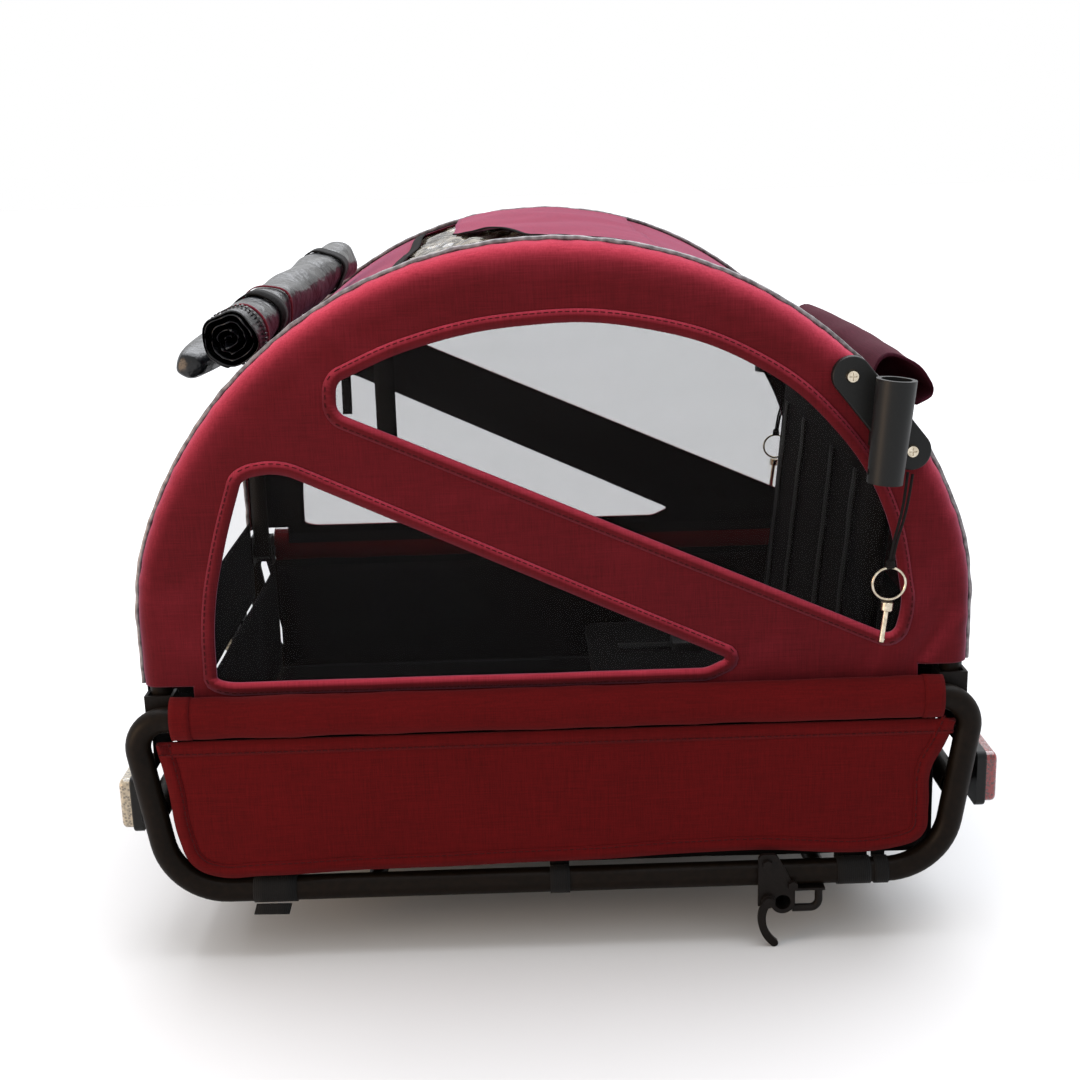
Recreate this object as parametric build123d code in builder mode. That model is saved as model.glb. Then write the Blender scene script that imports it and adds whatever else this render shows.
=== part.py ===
"""Child bicycle trailer: the folding cabin without its wheels, tow arm and push handle.

Millimetres. X runs from the front (-X) to the rear (+X), Y from the trailer's left side (-Y)
to its right side (+Y), and Z is up. The origin is under the middle of the cabin, on the plane
that touches the lowest points, the tips of the two release levers.
"""

import math
import os
from build123d import *

# ---------------------------------------------------------------- driving dimensions
frame_tube_r = 12.7
frame_tube_wall = 1.6
frame_y = 340.0                 # middle plane of each lower side frame
frame_mid_x = -4.0
frame_top_half = 420.0          # half length between the upper corners of the tube line
frame_bottom_half = 391.0
top_rail_z = 259.0
bottom_rail_z = 72.5
frame_top_bend_r = 30.0
frame_bottom_bend_r = 65.0
rail_joint_half = 330.0         # where the top rail plugs onto the bent tube
rail_joint_gap = 0.4

cross_tube_z = 158.0
floor_tube_r = 9.5
floor_tube_front_x = -190.0
floor_tube_rear_x = 262.0

arch_half = 414.0               # outer edge of the side panel's piping
arch_crown_r = 425.0
arch_crown_z = 291.0            # height of the crown's centre
arch_shoulder_r = 250.0
piping_size = 4.0

hoop_tube_r = 11.0
hoop_tube_wall = 1.5
hoop_y = frame_y - 30.0         # middle plane of each hoop
hoop_inset = 16.5               # hoop's centre line inside the outer edge
pivot_bolt_r = 4.0
pivot_bolt_gap = 0.3
bracket_sheet = 3.0
bracket_side_gap = 0.4
bracket_height = 40.0

cloth = 2.5                     # stitched cloth, its lining and the seams between them
film = 0.8
rim_r = 15.5                    # the side panel bends round the hoop with this outer radius
panel_face_y = hoop_y + rim_r   # outer face of the dome side panel
panel_bottom_z = 265.0
panel_end_bottom_z = 288.0
panel_end_length = 52.0
film_inset = 34.0                # one clear sheet backs both windows
film_bottom_z = 280.0
film_gap = 0.15

sleeve_half_height = 21.0
sleeve_half_depth = 14.0
sleeve_front_x = -382.5
sleeve_rear_x = 382.5
sleeve_bore_gap = 0.3

skirt_face_y = frame_y + 6.5
skirt_gap = 0.6

tub_half_width = frame_y - 18.5
tub_half_length = 384.0
tub_bottom_z = 86.0
tub_top_z = 232.0
apron_x = 418.5
apron_bottom_z = 192.0
apron_top_z = 300.0

roof_half_width = hoop_y - piping_size - 0.3
roof_inset = 1.0
roof_front_angle = 133.0        # about the crown's centre, from the rear
roof_rear_angle = 22.0
skylight_front_angle = 111.0
skylight_rear_angle = 78.0
skylight_half_width = 285.0
shade_lift = 5.0
shade_rear_angle = 74.0
shade_front_angle = 104.0
shade_half_width = roof_half_width - 4.0

handle_bore_r = 14.5            # for a 28.6 mm handle tube
handle_tube_r = 19.0            # at the top; the foot is slimmer
handle_foot_r = 17.0
handle_tube_y = panel_face_y + 34.5
handle_tube_length = 99.0
handle_lean = 5.0
handle_drop = 14.0              # tube's middle below the middle of its two screws
handle_plate = 8.0
handle_plate_gap = 0.5
handle_ear_r = 19.0
handle_screw_front_angle = 45.2
handle_screw_rear_angle = 31.9
screw_r = 2.5
screw_gap = 0.2
screw_head_r = 6.5
screw_head_height = 3.6
handle_pin_hole_r = 3.5

axle_x = 224.0
axle_bore_r = 8.05              # for a 15.9 mm quick-release axle
axle_housing_r = 12.5
axle_housing_length = 57.0
axle_plate = 4.0
axle_plate_gap = 0.3
guard_rod_r = 4.0
lever_pivot_x = 209.0
lever_sheet = 4.5
lever_gap = 0.5
lever_pin_r = 3.0
lever_pin_gap = 0.3

pin_shaft_r = 2.7
ring_r = 16.0
ring_wire_r = 1.3
lanyard_r = 2.0

seat_front_x = 40.0
seat_rear_x = 318.0
seat_half_width = tub_half_width - 25.5
seat_bottom_z = 118.0
seat_thickness = 34.0
back_thickness = 24.0
back_top_x = 352.0
back_top_z = 520.0
buckle_half_width = 21.0
webbing = 2.0
webbing_width = 26.0

# ---------------------------------------------------------------- worked-out places
shoulder_x = arch_half - arch_shoulder_r
centre_gap = arch_crown_r - arch_shoulder_r
shoulder_z = arch_crown_z + math.sqrt(centre_gap**2 - shoulder_x**2)
join_angle = math.degrees(math.atan2(shoulder_z - arch_crown_z, shoulder_x))
arch_top_z = arch_crown_z + arch_crown_r
hoop_x = arch_half - hoop_inset
hoop_r = arch_crown_r - hoop_inset
pivot_z = top_rail_z
frame_inner_y = frame_y - frame_tube_r
axle_z = bottom_rail_z - frame_tube_r - axle_housing_r - axle_plate_gap
axle_outer_y = frame_y + frame_tube_r + axle_plate_gap + axle_plate
lever_pivot_z = axle_z + 3.0


def save(piece, label):
    """Name a finished piece and write it to its own file."""
    piece.part.label = label
    export_step(piece.part, f"parts/{label}.step")


def mirrored(piece):
    """The same piece on the trailer's right side."""
    with BuildPart() as other:
        mirror(piece.part, about=Plane.XZ)
    return other


def crown_point(angle, inset):
    """A point of the arch's crown, as X and Z, at an angle about the crown's centre."""
    r = arch_crown_r - inset
    return (
        r * math.cos(math.radians(angle)),
        arch_crown_z + r * math.sin(math.radians(angle)),
    )


def draw_arch(inset, foot_z):
    """Front leg, front shoulder, crown, rear shoulder and rear leg, foot to foot."""
    x = arch_half - inset
    shoulder_r = arch_shoulder_r - inset
    Line((-x, foot_z), (-x, shoulder_z))
    CenterArc((-shoulder_x, shoulder_z), shoulder_r, 180 - join_angle, join_angle)
    CenterArc((0, arch_crown_z), arch_crown_r - inset, join_angle, 180 - 2 * join_angle)
    CenterArc((shoulder_x, shoulder_z), shoulder_r, 0, join_angle)
    Line((x, foot_z), (x, shoulder_z))


def draw_band(inset, thickness, start, stop):
    """A closed strip that follows the crown between two angles."""
    r_out = arch_crown_r - inset
    r_in = r_out - thickness
    outer = CenterArc((0, arch_crown_z), r_out, start, stop - start)
    inner = CenterArc((0, arch_crown_z), r_in, start, stop - start)
    Line(outer @ 0, inner @ 0)
    Line(outer @ 1, inner @ 1)


def tube_section(path, radius, wall):
    """A tube's ring section at the start of its path."""
    with BuildSketch(Plane(origin=path @ 0, z_dir=path % 0)) as ring:
        Circle(radius)
        Circle(radius - wall, mode=Mode.SUBTRACT)
    return ring.sketch


def window_upper():
    """Upper window: follows the crown above and the slanting band below."""
    with BuildSketch() as window:
        with BuildLine():
            Spline((-202, 588), (-130, 617), (-20, 637), (85, 632), (196, 593), (272, 531),
                   (322, 452), (345, 352))
            Polyline((345, 352), (336, 318), (-203, 559), (-202, 588))
        make_face()
        fillet(window.vertices().group_by(Axis.X)[-1], radius=18)
        fillet(window.vertices().sort_by(Axis.X)[0:2], radius=9)
    return window.sketch


def window_lower():
    """Lower window: upright front edge, flat bottom and a slanting top edge."""
    with BuildSketch() as window:
        with BuildLine():
            Spline((-338, 290), (-335, 360), (-321, 426), (-298, 498))
            Polyline((-298, 498), (-262, 503), (172, 300), (150, 290), (-338, 290))
        make_face()
        fillet(window.vertices().sort_by(Axis.X)[-2:], radius=7)
        fillet(window.vertices().group_by(Axis.Y)[0].sort_by(Axis.X)[0], radius=24)
        fillet(window.vertices().group_by(Axis.Y)[-1], radius=16)
    return window.sketch


os.makedirs("parts", exist_ok=True)

# ---------------------------------------------------------------- lower side frames
# One bent tube makes the bottom rail, both uprights and the upper corners. A straight top rail
# joins its two ends inside the cloth sleeve.
with BuildPart() as left_side_frame:
    with BuildLine(Plane.XZ.offset(frame_y)) as bent:
        FilletPolyline(
            (frame_mid_x - rail_joint_half, top_rail_z),
            (frame_mid_x - frame_top_half, top_rail_z),
            (frame_mid_x - frame_bottom_half, bottom_rail_z),
            (frame_mid_x + frame_bottom_half, bottom_rail_z),
            (frame_mid_x + frame_top_half, top_rail_z),
            (frame_mid_x + rail_joint_half, top_rail_z),
            radius=[frame_top_bend_r, frame_bottom_bend_r, frame_bottom_bend_r, frame_top_bend_r],
        )
    sweep(tube_section(bent.wire(), frame_tube_r, frame_tube_wall), path=bent.wire())
    with BuildLine(Plane.XZ.offset(frame_y)) as straight:
        Line(
            (frame_mid_x - rail_joint_half + rail_joint_gap, top_rail_z),
            (frame_mid_x + rail_joint_half - rail_joint_gap, top_rail_z),
        )
    sweep(tube_section(straight.wire(), frame_tube_r, frame_tube_wall), path=straight.wire())
save(left_side_frame, "left_side_frame")
save(mirrored(left_side_frame), "right_side_frame")


def upright_x(side, z):
    """X of an upright's centre line at a height; side is -1 at the front and 1 at the rear."""
    share = (z - bottom_rail_z) / (top_rail_z - bottom_rail_z)
    half = frame_bottom_half + share * (frame_top_half - frame_bottom_half)
    return frame_mid_x + side * half


def cross_tube(x, z, radius, half_length):
    """A straight tube across the trailer between the two side frames."""
    with BuildPart() as tube:
        with BuildSketch(Plane((x, half_length, z), z_dir=(0, 1, 0))):
            Circle(radius)
            Circle(radius - frame_tube_wall, mode=Mode.SUBTRACT)
        extrude(amount=-2 * half_length)
    return tube


save(cross_tube(upright_x(-1, cross_tube_z), cross_tube_z, frame_tube_r, frame_inner_y), "front_cross_tube")
save(cross_tube(upright_x(1, cross_tube_z), cross_tube_z, frame_tube_r, frame_inner_y), "rear_cross_tube")

with BuildPart() as floor_cross_tubes:
    for x in (floor_tube_front_x, floor_tube_rear_x):
        with BuildSketch(Plane((x, frame_inner_y, bottom_rail_z), z_dir=(0, 1, 0))):
            Circle(floor_tube_r)
            Circle(floor_tube_r - frame_tube_wall, mode=Mode.SUBTRACT)
        extrude(amount=-2 * frame_inner_y)
save(floor_cross_tubes, "floor_cross_tubes")

# ---------------------------------------------------------------- tub: floor and low walls
with BuildPart() as floor_panel:
    with Locations((0, 0, tub_bottom_z)):
        Box(2 * tub_half_length, 2 * tub_half_width, cloth, align=(Align.CENTER, Align.CENTER, Align.MAX))
save(floor_panel, "floor_panel")

wall_height = tub_top_z - tub_bottom_z - film_gap
wall_z = tub_bottom_z + film_gap
with BuildPart() as tub_end_walls:
    for x in (-tub_half_length + cloth / 2, tub_half_length - cloth / 2):
        with Locations((x, 0, wall_z)):
            Box(cloth, 2 * tub_half_width, wall_height, align=(Align.CENTER, Align.CENTER, Align.MIN))
save(tub_end_walls, "tub_end_walls")

side_wall_half = tub_half_length - cloth - film_gap
with BuildPart() as tub_side_walls:
    for y in (-tub_half_width + cloth / 2, tub_half_width - cloth / 2):
        with Locations((0, y, wall_z)):
            Box(2 * side_wall_half, cloth, wall_height, align=(Align.CENTER, Align.CENTER, Align.MIN))
save(tub_side_walls, "tub_side_walls")

apron_height = apron_top_z - apron_bottom_z
for label, x in (("front_apron", -apron_x + cloth / 2), ("rear_apron", apron_x - cloth / 2)):
    with BuildPart() as apron:
        with Locations((x, 0, apron_bottom_z)):
            Box(cloth, 2 * tub_half_width, apron_height, align=(Align.CENTER, Align.CENTER, Align.MIN))
    save(apron, label)

# ---------------------------------------------------------------- rail sleeves and lower panels
with BuildPart() as left_rail_sleeve:
    with BuildSketch(Plane((sleeve_front_x, -frame_y, top_rail_z), x_dir=(0, 1, 0), z_dir=(1, 0, 0))):
        Ellipse(sleeve_half_depth, sleeve_half_height)
        Circle(frame_tube_r + sleeve_bore_gap, mode=Mode.SUBTRACT)
    extrude(amount=sleeve_rear_x - sleeve_front_x)
save(left_rail_sleeve, "left_rail_sleeve")
save(mirrored(left_rail_sleeve), "right_rail_sleeve")

skirt_top_z = top_rail_z - sleeve_half_height - skirt_gap
with BuildPart() as left_lower_panel:
    with BuildSketch(Plane.XZ.offset(skirt_face_y)) as skirt:
        with BuildLine():
            Line((-400, skirt_top_z), (397, skirt_top_z))
            Spline((397, skirt_top_z), (386, 212), (371, 184), (371, 145), (368, 112), (346, 101))
            Spline((346, 101), (200, 101), (-60, 95), (-300, 91), (-338, 89))
            Spline((-338, 89), (-368, 102), (-380, 130), (-386, 190), (-400, skirt_top_z))
        make_face()
    extrude(amount=-cloth)
save(left_lower_panel, "left_lower_panel")
save(mirrored(left_lower_panel), "right_lower_panel")

# Loops of webbing that hold the floor down to the bottom rails: middle X and width of each.
rail_loops = ((-292, 44), (-2, 20), (298, 34), (326, 14))
loop_inner_r = frame_tube_r + 0.4
loop_outer_r = loop_inner_r + webbing
with BuildPart() as left_loops:
    for x, width in rail_loops:
        with BuildSketch(Plane((x - width / 2, -frame_y, bottom_rail_z), z_dir=(1, 0, 0))):
            Circle(loop_outer_r)
            Circle(loop_inner_r, mode=Mode.SUBTRACT)
        extrude(amount=width)
with BuildPart() as rail_straps:
    add(left_loops.part)
    mirror(left_loops.part, about=Plane.XZ)
save(rail_straps, "rail_straps")

# ---------------------------------------------------------------- reflectors
reflector_half_height = 30.0
reflector_half_width = 38.0
reflector_y = frame_y - 58.0
reflector_face_x = 450.0
case_depth = 10.0
lens_depth = 12.0
clamp_half = 11.0
tube_gap = 0.5


def reflector_pair(face_x, direction, depth, shrink, round_edge):
    """Two upright rounded plates, one near each side frame."""
    with BuildPart() as pair:
        for y in (-reflector_y, reflector_y):
            with BuildSketch(Plane((face_x, y, cross_tube_z), z_dir=(direction, 0, 0))):
                RectangleRounded(
                    2 * (reflector_half_height - shrink), 2 * (reflector_half_width - shrink), 8
                )
            extrude(amount=depth)
        ends = pair.faces().filter_by(Axis.X).group_by(Axis.X)
        outer = ends[-1] if direction > 0 else ends[0]
        fillet(outer.edges(), radius=round_edge)
    return pair


lens_back_x = reflector_face_x - lens_depth
case_back_x = lens_back_x - case_depth
with BuildPart() as reflector_cases:
    for end in (-1, 1):
        add(reflector_pair(end * case_back_x, end, case_depth, 0, 2).part)
        clamp_x = upright_x(end, cross_tube_z) + end * (frame_tube_r + tube_gap)
        for y in (-reflector_y, reflector_y):
            with BuildSketch(Plane((clamp_x, y, cross_tube_z), z_dir=(end, 0, 0))):
                Rectangle(2 * clamp_half, 2 * clamp_half)
            extrude(amount=abs(end * case_back_x - clamp_x) + 2)
save(reflector_cases, "reflector_cases")
save(reflector_pair(-lens_back_x, -1, lens_depth, 3, 5), "front_reflectors")
save(reflector_pair(lens_back_x, 1, lens_depth, 3, 5), "rear_reflectors")

# ---------------------------------------------------------------- wheel-axle brackets
# A plate welded outside the bottom rail, a saddle under it and the axle's housing.
with BuildPart() as left_axle_bracket:
    with BuildSketch(Plane.XZ.offset(axle_outer_y)):
        with BuildLine():
            Polyline(
                (199, 100), (217, 100), (224, 88), (axle_x + axle_housing_r, 62),
                (axle_x + axle_housing_r, axle_z), (axle_x - axle_housing_r, axle_z),
                (199, lever_pivot_z - 7), (199, 100),
            )
        make_face()
    extrude(amount=-axle_plate)
    fillet(left_axle_bracket.edges().filter_by(Axis.Y).group_by(Axis.Z)[-1], radius=6)
    with Locations((236, -frame_y, bottom_rail_z - frame_tube_r - axle_plate_gap)):
        Box(64, 2 * (frame_tube_r + axle_plate_gap), 2.4, align=(Align.CENTER, Align.CENTER, Align.MAX))
    with BuildSketch(Plane.XZ.offset(axle_outer_y)):
        with Locations((axle_x, axle_z)):
            Circle(axle_housing_r)
    extrude(amount=-axle_housing_length)
    with BuildSketch(Plane.XZ.offset(axle_outer_y)):
        with Locations((axle_x, axle_z)):
            Circle(axle_bore_r)
        with Locations((lever_pivot_x, lever_pivot_z)):
            Circle(lever_pin_r)
    extrude(amount=-axle_housing_length, mode=Mode.SUBTRACT)
save(left_axle_bracket, "left_axle_bracket")
save(mirrored(left_axle_bracket), "right_axle_bracket")

guard_x = 262.0
guard_y = frame_y + 9.0
guard_top_z = bottom_rail_z - frame_tube_r - axle_plate_gap - 2.4 - 0.1
guard_low_z = 36.5
guard_front_x = axle_x + axle_housing_r - 1.5
with BuildPart() as left_guard_bar:
    with BuildLine(Plane.XZ.offset(guard_y)) as rod:
        FilletPolyline((guard_x, guard_top_z), (guard_x, guard_low_z), (guard_front_x, guard_low_z), radius=9)
    with BuildSketch(Plane(origin=rod.wire() @ 0, z_dir=rod.wire() % 0)):
        Circle(guard_rod_r)
    sweep(path=rod.wire())
save(left_guard_bar, "left_guard_bar")
save(mirrored(left_guard_bar), "right_guard_bar")

# Release lever: a hooked strip on a pin through the bracket's plate.
lever_outer_y = axle_outer_y + lever_gap + lever_sheet
lever_half_width = 4.0
lever_tip = (215, lever_half_width)
with BuildPart() as left_release_lever:
    with BuildSketch(Plane.XZ.offset(lever_outer_y)):
        with BuildLine():
            Spline((lever_pivot_x, lever_pivot_z), (202.5, 36), (203.5, 22), (209, 10.5), lever_tip)
        trace(line_width=2 * lever_half_width)
        with Locations(lever_tip):
            Circle(lever_half_width)
        with Locations((lever_pivot_x, lever_pivot_z)):
            Circle(7)
            Circle(lever_pin_r + lever_pin_gap, mode=Mode.SUBTRACT)
    extrude(amount=-lever_sheet)
save(left_release_lever, "left_release_lever")
save(mirrored(left_release_lever), "right_release_lever")

with BuildPart() as left_pin:
    with BuildSketch(Plane((lever_pivot_x, -lever_outer_y - 2.6, lever_pivot_z), z_dir=(0, 1, 0))):
        Circle(5.5)
    extrude(amount=2.2)
    with BuildSketch(Plane((lever_pivot_x, -lever_outer_y - 0.6, lever_pivot_z), z_dir=(0, 1, 0))):
        Circle(lever_pin_r)
    extrude(amount=lever_sheet + lever_gap + axle_plate)
with BuildPart() as lever_pins:
    add(left_pin.part)
    mirror(left_pin.part, about=Plane.XZ)
save(lever_pins, "lever_pins")

# Hexagon bolts that clamp the bracket's plate to the rail.
bolt_places = ((234, 66), (208, 90))
with BuildPart() as left_bolts:
    for x, z in bolt_places:
        with BuildSketch(Plane((x, -axle_outer_y - 0.05, z), z_dir=(0, -1, 0))):
            RegularPolygon(5.2, 6)
        extrude(amount=4)
with BuildPart() as bracket_bolts:
    add(left_bolts.part)
    mirror(left_bolts.part, about=Plane.XZ)
save(bracket_bolts, "bracket_bolts")

# ---------------------------------------------------------------- hoops, hinge brackets, bolts
with BuildPart() as left_hoop:
    with BuildLine(Plane.XZ.offset(hoop_y)) as arch:
        draw_arch(hoop_inset, pivot_z)
    sweep(tube_section(arch.wire(), hoop_tube_r, hoop_tube_wall), path=arch.wire())
    for x in (-hoop_x, hoop_x):
        with Locations((x, -hoop_y, pivot_z)):
            Cylinder(hoop_tube_r, 2 * hoop_tube_r, rotation=(0, 90, 0))
            Cylinder(pivot_bolt_r + pivot_bolt_gap, 3 * hoop_tube_r, rotation=(0, 90, 0), mode=Mode.SUBTRACT)
    for angle in (handle_screw_front_angle, handle_screw_rear_angle):
        x, z = crown_point(angle, hoop_inset)
        with Locations((x, -hoop_y - hoop_tube_r, z)):
            Cylinder(screw_r + screw_gap, 2 * hoop_tube_r, rotation=(90, 0, 0), mode=Mode.SUBTRACT)
save(left_hoop, "left_hoop")
save(mirrored(left_hoop), "right_hoop")

ear_inner = hoop_tube_r + bracket_side_gap
ear_outer = ear_inner + bracket_sheet
web_y = frame_inner_y - bracket_sheet / 2 - 0.1
ear_reach = 12.0                # how far the ears stand inwards of the bolt
with BuildPart() as left_brackets:
    for x in (-hoop_x, hoop_x):
        with Locations((x, -web_y, pivot_z)):
            Box(2 * ear_outer, bracket_sheet, bracket_height)
        ear_length = web_y - hoop_y + ear_reach
        for side in (-1, 1):
            ear_x = x + side * (ear_inner + bracket_sheet / 2)
            with Locations((ear_x, -web_y, pivot_z)):
                Box(bracket_sheet, ear_length, bracket_height, align=(Align.CENTER, Align.MIN, Align.CENTER))
        with Locations((x, -hoop_y, pivot_z)):
            Cylinder(pivot_bolt_r, 4 * ear_outer, rotation=(0, 90, 0), mode=Mode.SUBTRACT)
    inner_ends = left_brackets.edges().filter_by(Axis.X).group_by(Axis.Y)[-1]
    fillet(inner_ends, radius=9)
with BuildPart() as hinge_brackets:
    add(left_brackets.part)
    mirror(left_brackets.part, about=Plane.XZ)
save(hinge_brackets, "hinge_brackets")

bolt_head_r = 7.0
bolt_head = 2.6
with BuildPart() as left_pivot_bolts:
    for x in (-hoop_x, hoop_x):
        with Locations((x, -hoop_y, pivot_z)):
            Cylinder(pivot_bolt_r, 2 * ear_outer, rotation=(0, 90, 0))
        for side in (-1, 1):
            head_x = x + side * (ear_outer + bolt_head / 2)
            with Locations((head_x, -hoop_y, pivot_z)):
                Cylinder(bolt_head_r, bolt_head, rotation=(0, 90, 0))
with BuildPart() as pivot_bolts:
    add(left_pivot_bolts.part)
    mirror(left_pivot_bolts.part, about=Plane.XZ)
save(pivot_bolts, "pivot_bolts")

# ---------------------------------------------------------------- dome side panels and windows
upper_window = window_upper()
lower_window = window_lower()
panel_end_x = arch_half - panel_end_length


def rim_section(path):
    """A quarter ring from the hoop's outer side over to its top, at the start of its path."""
    with BuildSketch(Plane(origin=path @ 0, x_dir=(-1, 0, 0), z_dir=path % 0)) as quarter:
        with BuildLine():
            outer = CenterArc((0, 0), rim_r, 0, 90)
            inner = CenterArc((0, 0), rim_r - cloth, 0, 90)
            Line(outer @ 0, inner @ 0)
            Line(outer @ 1, inner @ 1)
        make_face()
    return quarter.sketch


with BuildPart() as left_side_panel:
    with BuildSketch(Plane.XZ.offset(panel_face_y)):
        with BuildLine():
            draw_arch(hoop_inset, panel_end_bottom_z)
            Polyline(
                (-hoop_x, panel_end_bottom_z), (-panel_end_x, panel_end_bottom_z),
                (-panel_end_x, panel_bottom_z), (panel_end_x, panel_bottom_z),
                (panel_end_x, panel_end_bottom_z), (hoop_x, panel_end_bottom_z),
            )
        make_face()
        add(upper_window, mode=Mode.SUBTRACT)
        add(lower_window, mode=Mode.SUBTRACT)
    extrude(amount=-cloth)
    with BuildLine(Plane.XZ.offset(hoop_y)) as rim:
        draw_arch(hoop_inset, panel_end_bottom_z)
    sweep(rim_section(rim.wire()), path=rim.wire())
    for angle in (handle_screw_front_angle, handle_screw_rear_angle):
        x, z = crown_point(angle, hoop_inset)
        with Locations((x, -panel_face_y, z)):
            Cylinder(screw_r + 2 * screw_gap, 4 * cloth, rotation=(90, 0, 0), mode=Mode.SUBTRACT)
save(left_side_panel, "left_side_panel")
save(mirrored(left_side_panel), "right_side_panel")

film_y = panel_face_y - cloth - film_gap
with BuildPart() as left_windows:
    with BuildSketch(Plane.XZ.offset(film_y)):
        with BuildLine():
            draw_arch(film_inset, film_bottom_z)
            Line((film_inset - arch_half, film_bottom_z), (arch_half - film_inset, film_bottom_z))
        make_face()
    extrude(amount=-film)
save(left_windows, "left_windows")
save(mirrored(left_windows), "right_windows")

with BuildPart() as left_piping:
    with BuildSketch(Plane.XZ.offset(hoop_y - film_gap)):
        with BuildLine():
            draw_arch(0, panel_end_bottom_z)
            draw_arch(piping_size - film_gap, panel_end_bottom_z)
            for side in (-1, 1):
                Line(
                    (side * arch_half, panel_end_bottom_z),
                    (side * (arch_half - piping_size + film_gap), panel_end_bottom_z),
                )
        make_face()
    extrude(amount=-piping_size)
save(left_piping, "left_piping")
save(mirrored(left_piping), "right_piping")

# ---------------------------------------------------------------- roof, skylight, shade, rear
skylight_step = film_gap / arch_crown_r * 60


def curved_sheet(inset, thickness, start, stop, half_width):
    """A sheet bent over the crown from one angle to another."""
    with BuildPart() as sheet:
        with BuildSketch(Plane.XZ.offset(half_width)):
            with BuildLine():
                draw_band(inset, thickness, start, stop)
            make_face()
        extrude(amount=-2 * half_width)
    return sheet


roof_sheet = curved_sheet(roof_inset, cloth, roof_rear_angle, roof_front_angle, roof_half_width)
skylight_hole = curved_sheet(
    roof_inset - cloth, 3 * cloth, skylight_rear_angle, skylight_front_angle, skylight_half_width
)
with BuildPart() as roof_cover:
    add(roof_sheet.part)
    add(skylight_hole.part, mode=Mode.SUBTRACT)
save(roof_cover, "roof_cover")

save(
    curved_sheet(
        roof_inset + cloth / 3,
        film,
        skylight_rear_angle + skylight_step,
        skylight_front_angle - skylight_step,
        skylight_half_width - 2 * film_gap,
    ),
    "skylight_film",
)
save(
    curved_sheet(
        roof_inset - shade_lift - cloth, cloth, shade_rear_angle, shade_front_angle, shade_half_width
    ),
    "shade_flap",
)

rear_bottom_z = apron_top_z - 14.0
with BuildPart() as rear_panel:
    with BuildSketch(Plane.XZ.offset(roof_half_width)):
        with BuildLine():
            for inset in (roof_inset, roof_inset + cloth):
                Line((arch_half - inset, rear_bottom_z), (arch_half - inset, shoulder_z))
                CenterArc((shoulder_x, shoulder_z), arch_shoulder_r - inset, 0, join_angle)
            Line((arch_half - roof_inset, rear_bottom_z), (arch_half - roof_inset - cloth, rear_bottom_z))
            Line(crown_point(join_angle, roof_inset), crown_point(join_angle, roof_inset + cloth))
        make_face()
    extrude(amount=-2 * roof_half_width)
save(rear_panel, "rear_panel")

# Rear flap: hangs out over the luggage space from the roof's rear edge.
flap_half_width = 238.0
flap_thickness = 6.0
with BuildPart() as rear_flap:
    with BuildSketch(Plane.XZ.offset(flap_half_width)):
        with BuildLine():
            Spline((327, 567), (339, 588), (362, 586), (386, 566), (395, 546), (377, 533))
        trace(line_width=flap_thickness)
    extrude(amount=-2 * flap_half_width)
save(rear_flap, "rear_flap")

# ---------------------------------------------------------------- rolled covers and their ties
roll_near = Vector(-311, -264, 625)
roll_far = Vector(-257, 226, 663)
roll_near_r = 28.0
roll_far_r = 25.0
roll_axis = roll_far - roll_near


def roll_plane(share):
    """A plane square to the roll, a share of the way along it."""
    return Plane(origin=roll_near + roll_axis * share, z_dir=roll_axis)


with BuildPart() as front_cover_roll:
    with BuildSketch(roll_plane(0)):
        Circle(roll_near_r)
    with BuildSketch(roll_plane(1)):
        Circle(roll_far_r)
    loft()
save(front_cover_roll, "front_cover_roll")

rain_roll_near = Vector(-361, -226, 594)
rain_roll_far = Vector(-321, 214, 619)
rain_roll_r = 22.0
with BuildPart() as rain_cover_roll:
    with BuildSketch(Plane(origin=rain_roll_near, z_dir=rain_roll_far - rain_roll_near)):
        Circle(rain_roll_r)
    extrude(amount=(rain_roll_far - rain_roll_near).length)
    fillet(rain_cover_roll.edges(), radius=8)
save(rain_cover_roll, "rain_cover_roll")

tie_shares = (0.2, 0.8)
with BuildPart() as cover_ties:
    for share in tie_shares:
        tie_r = roll_near_r + share * (roll_far_r - roll_near_r) + 0.3
        with BuildSketch(roll_plane(share)):
            Circle(tie_r + webbing)
            Circle(tie_r, mode=Mode.SUBTRACT)
        extrude(amount=webbing_width)
save(cover_ties, "cover_ties")

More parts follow.
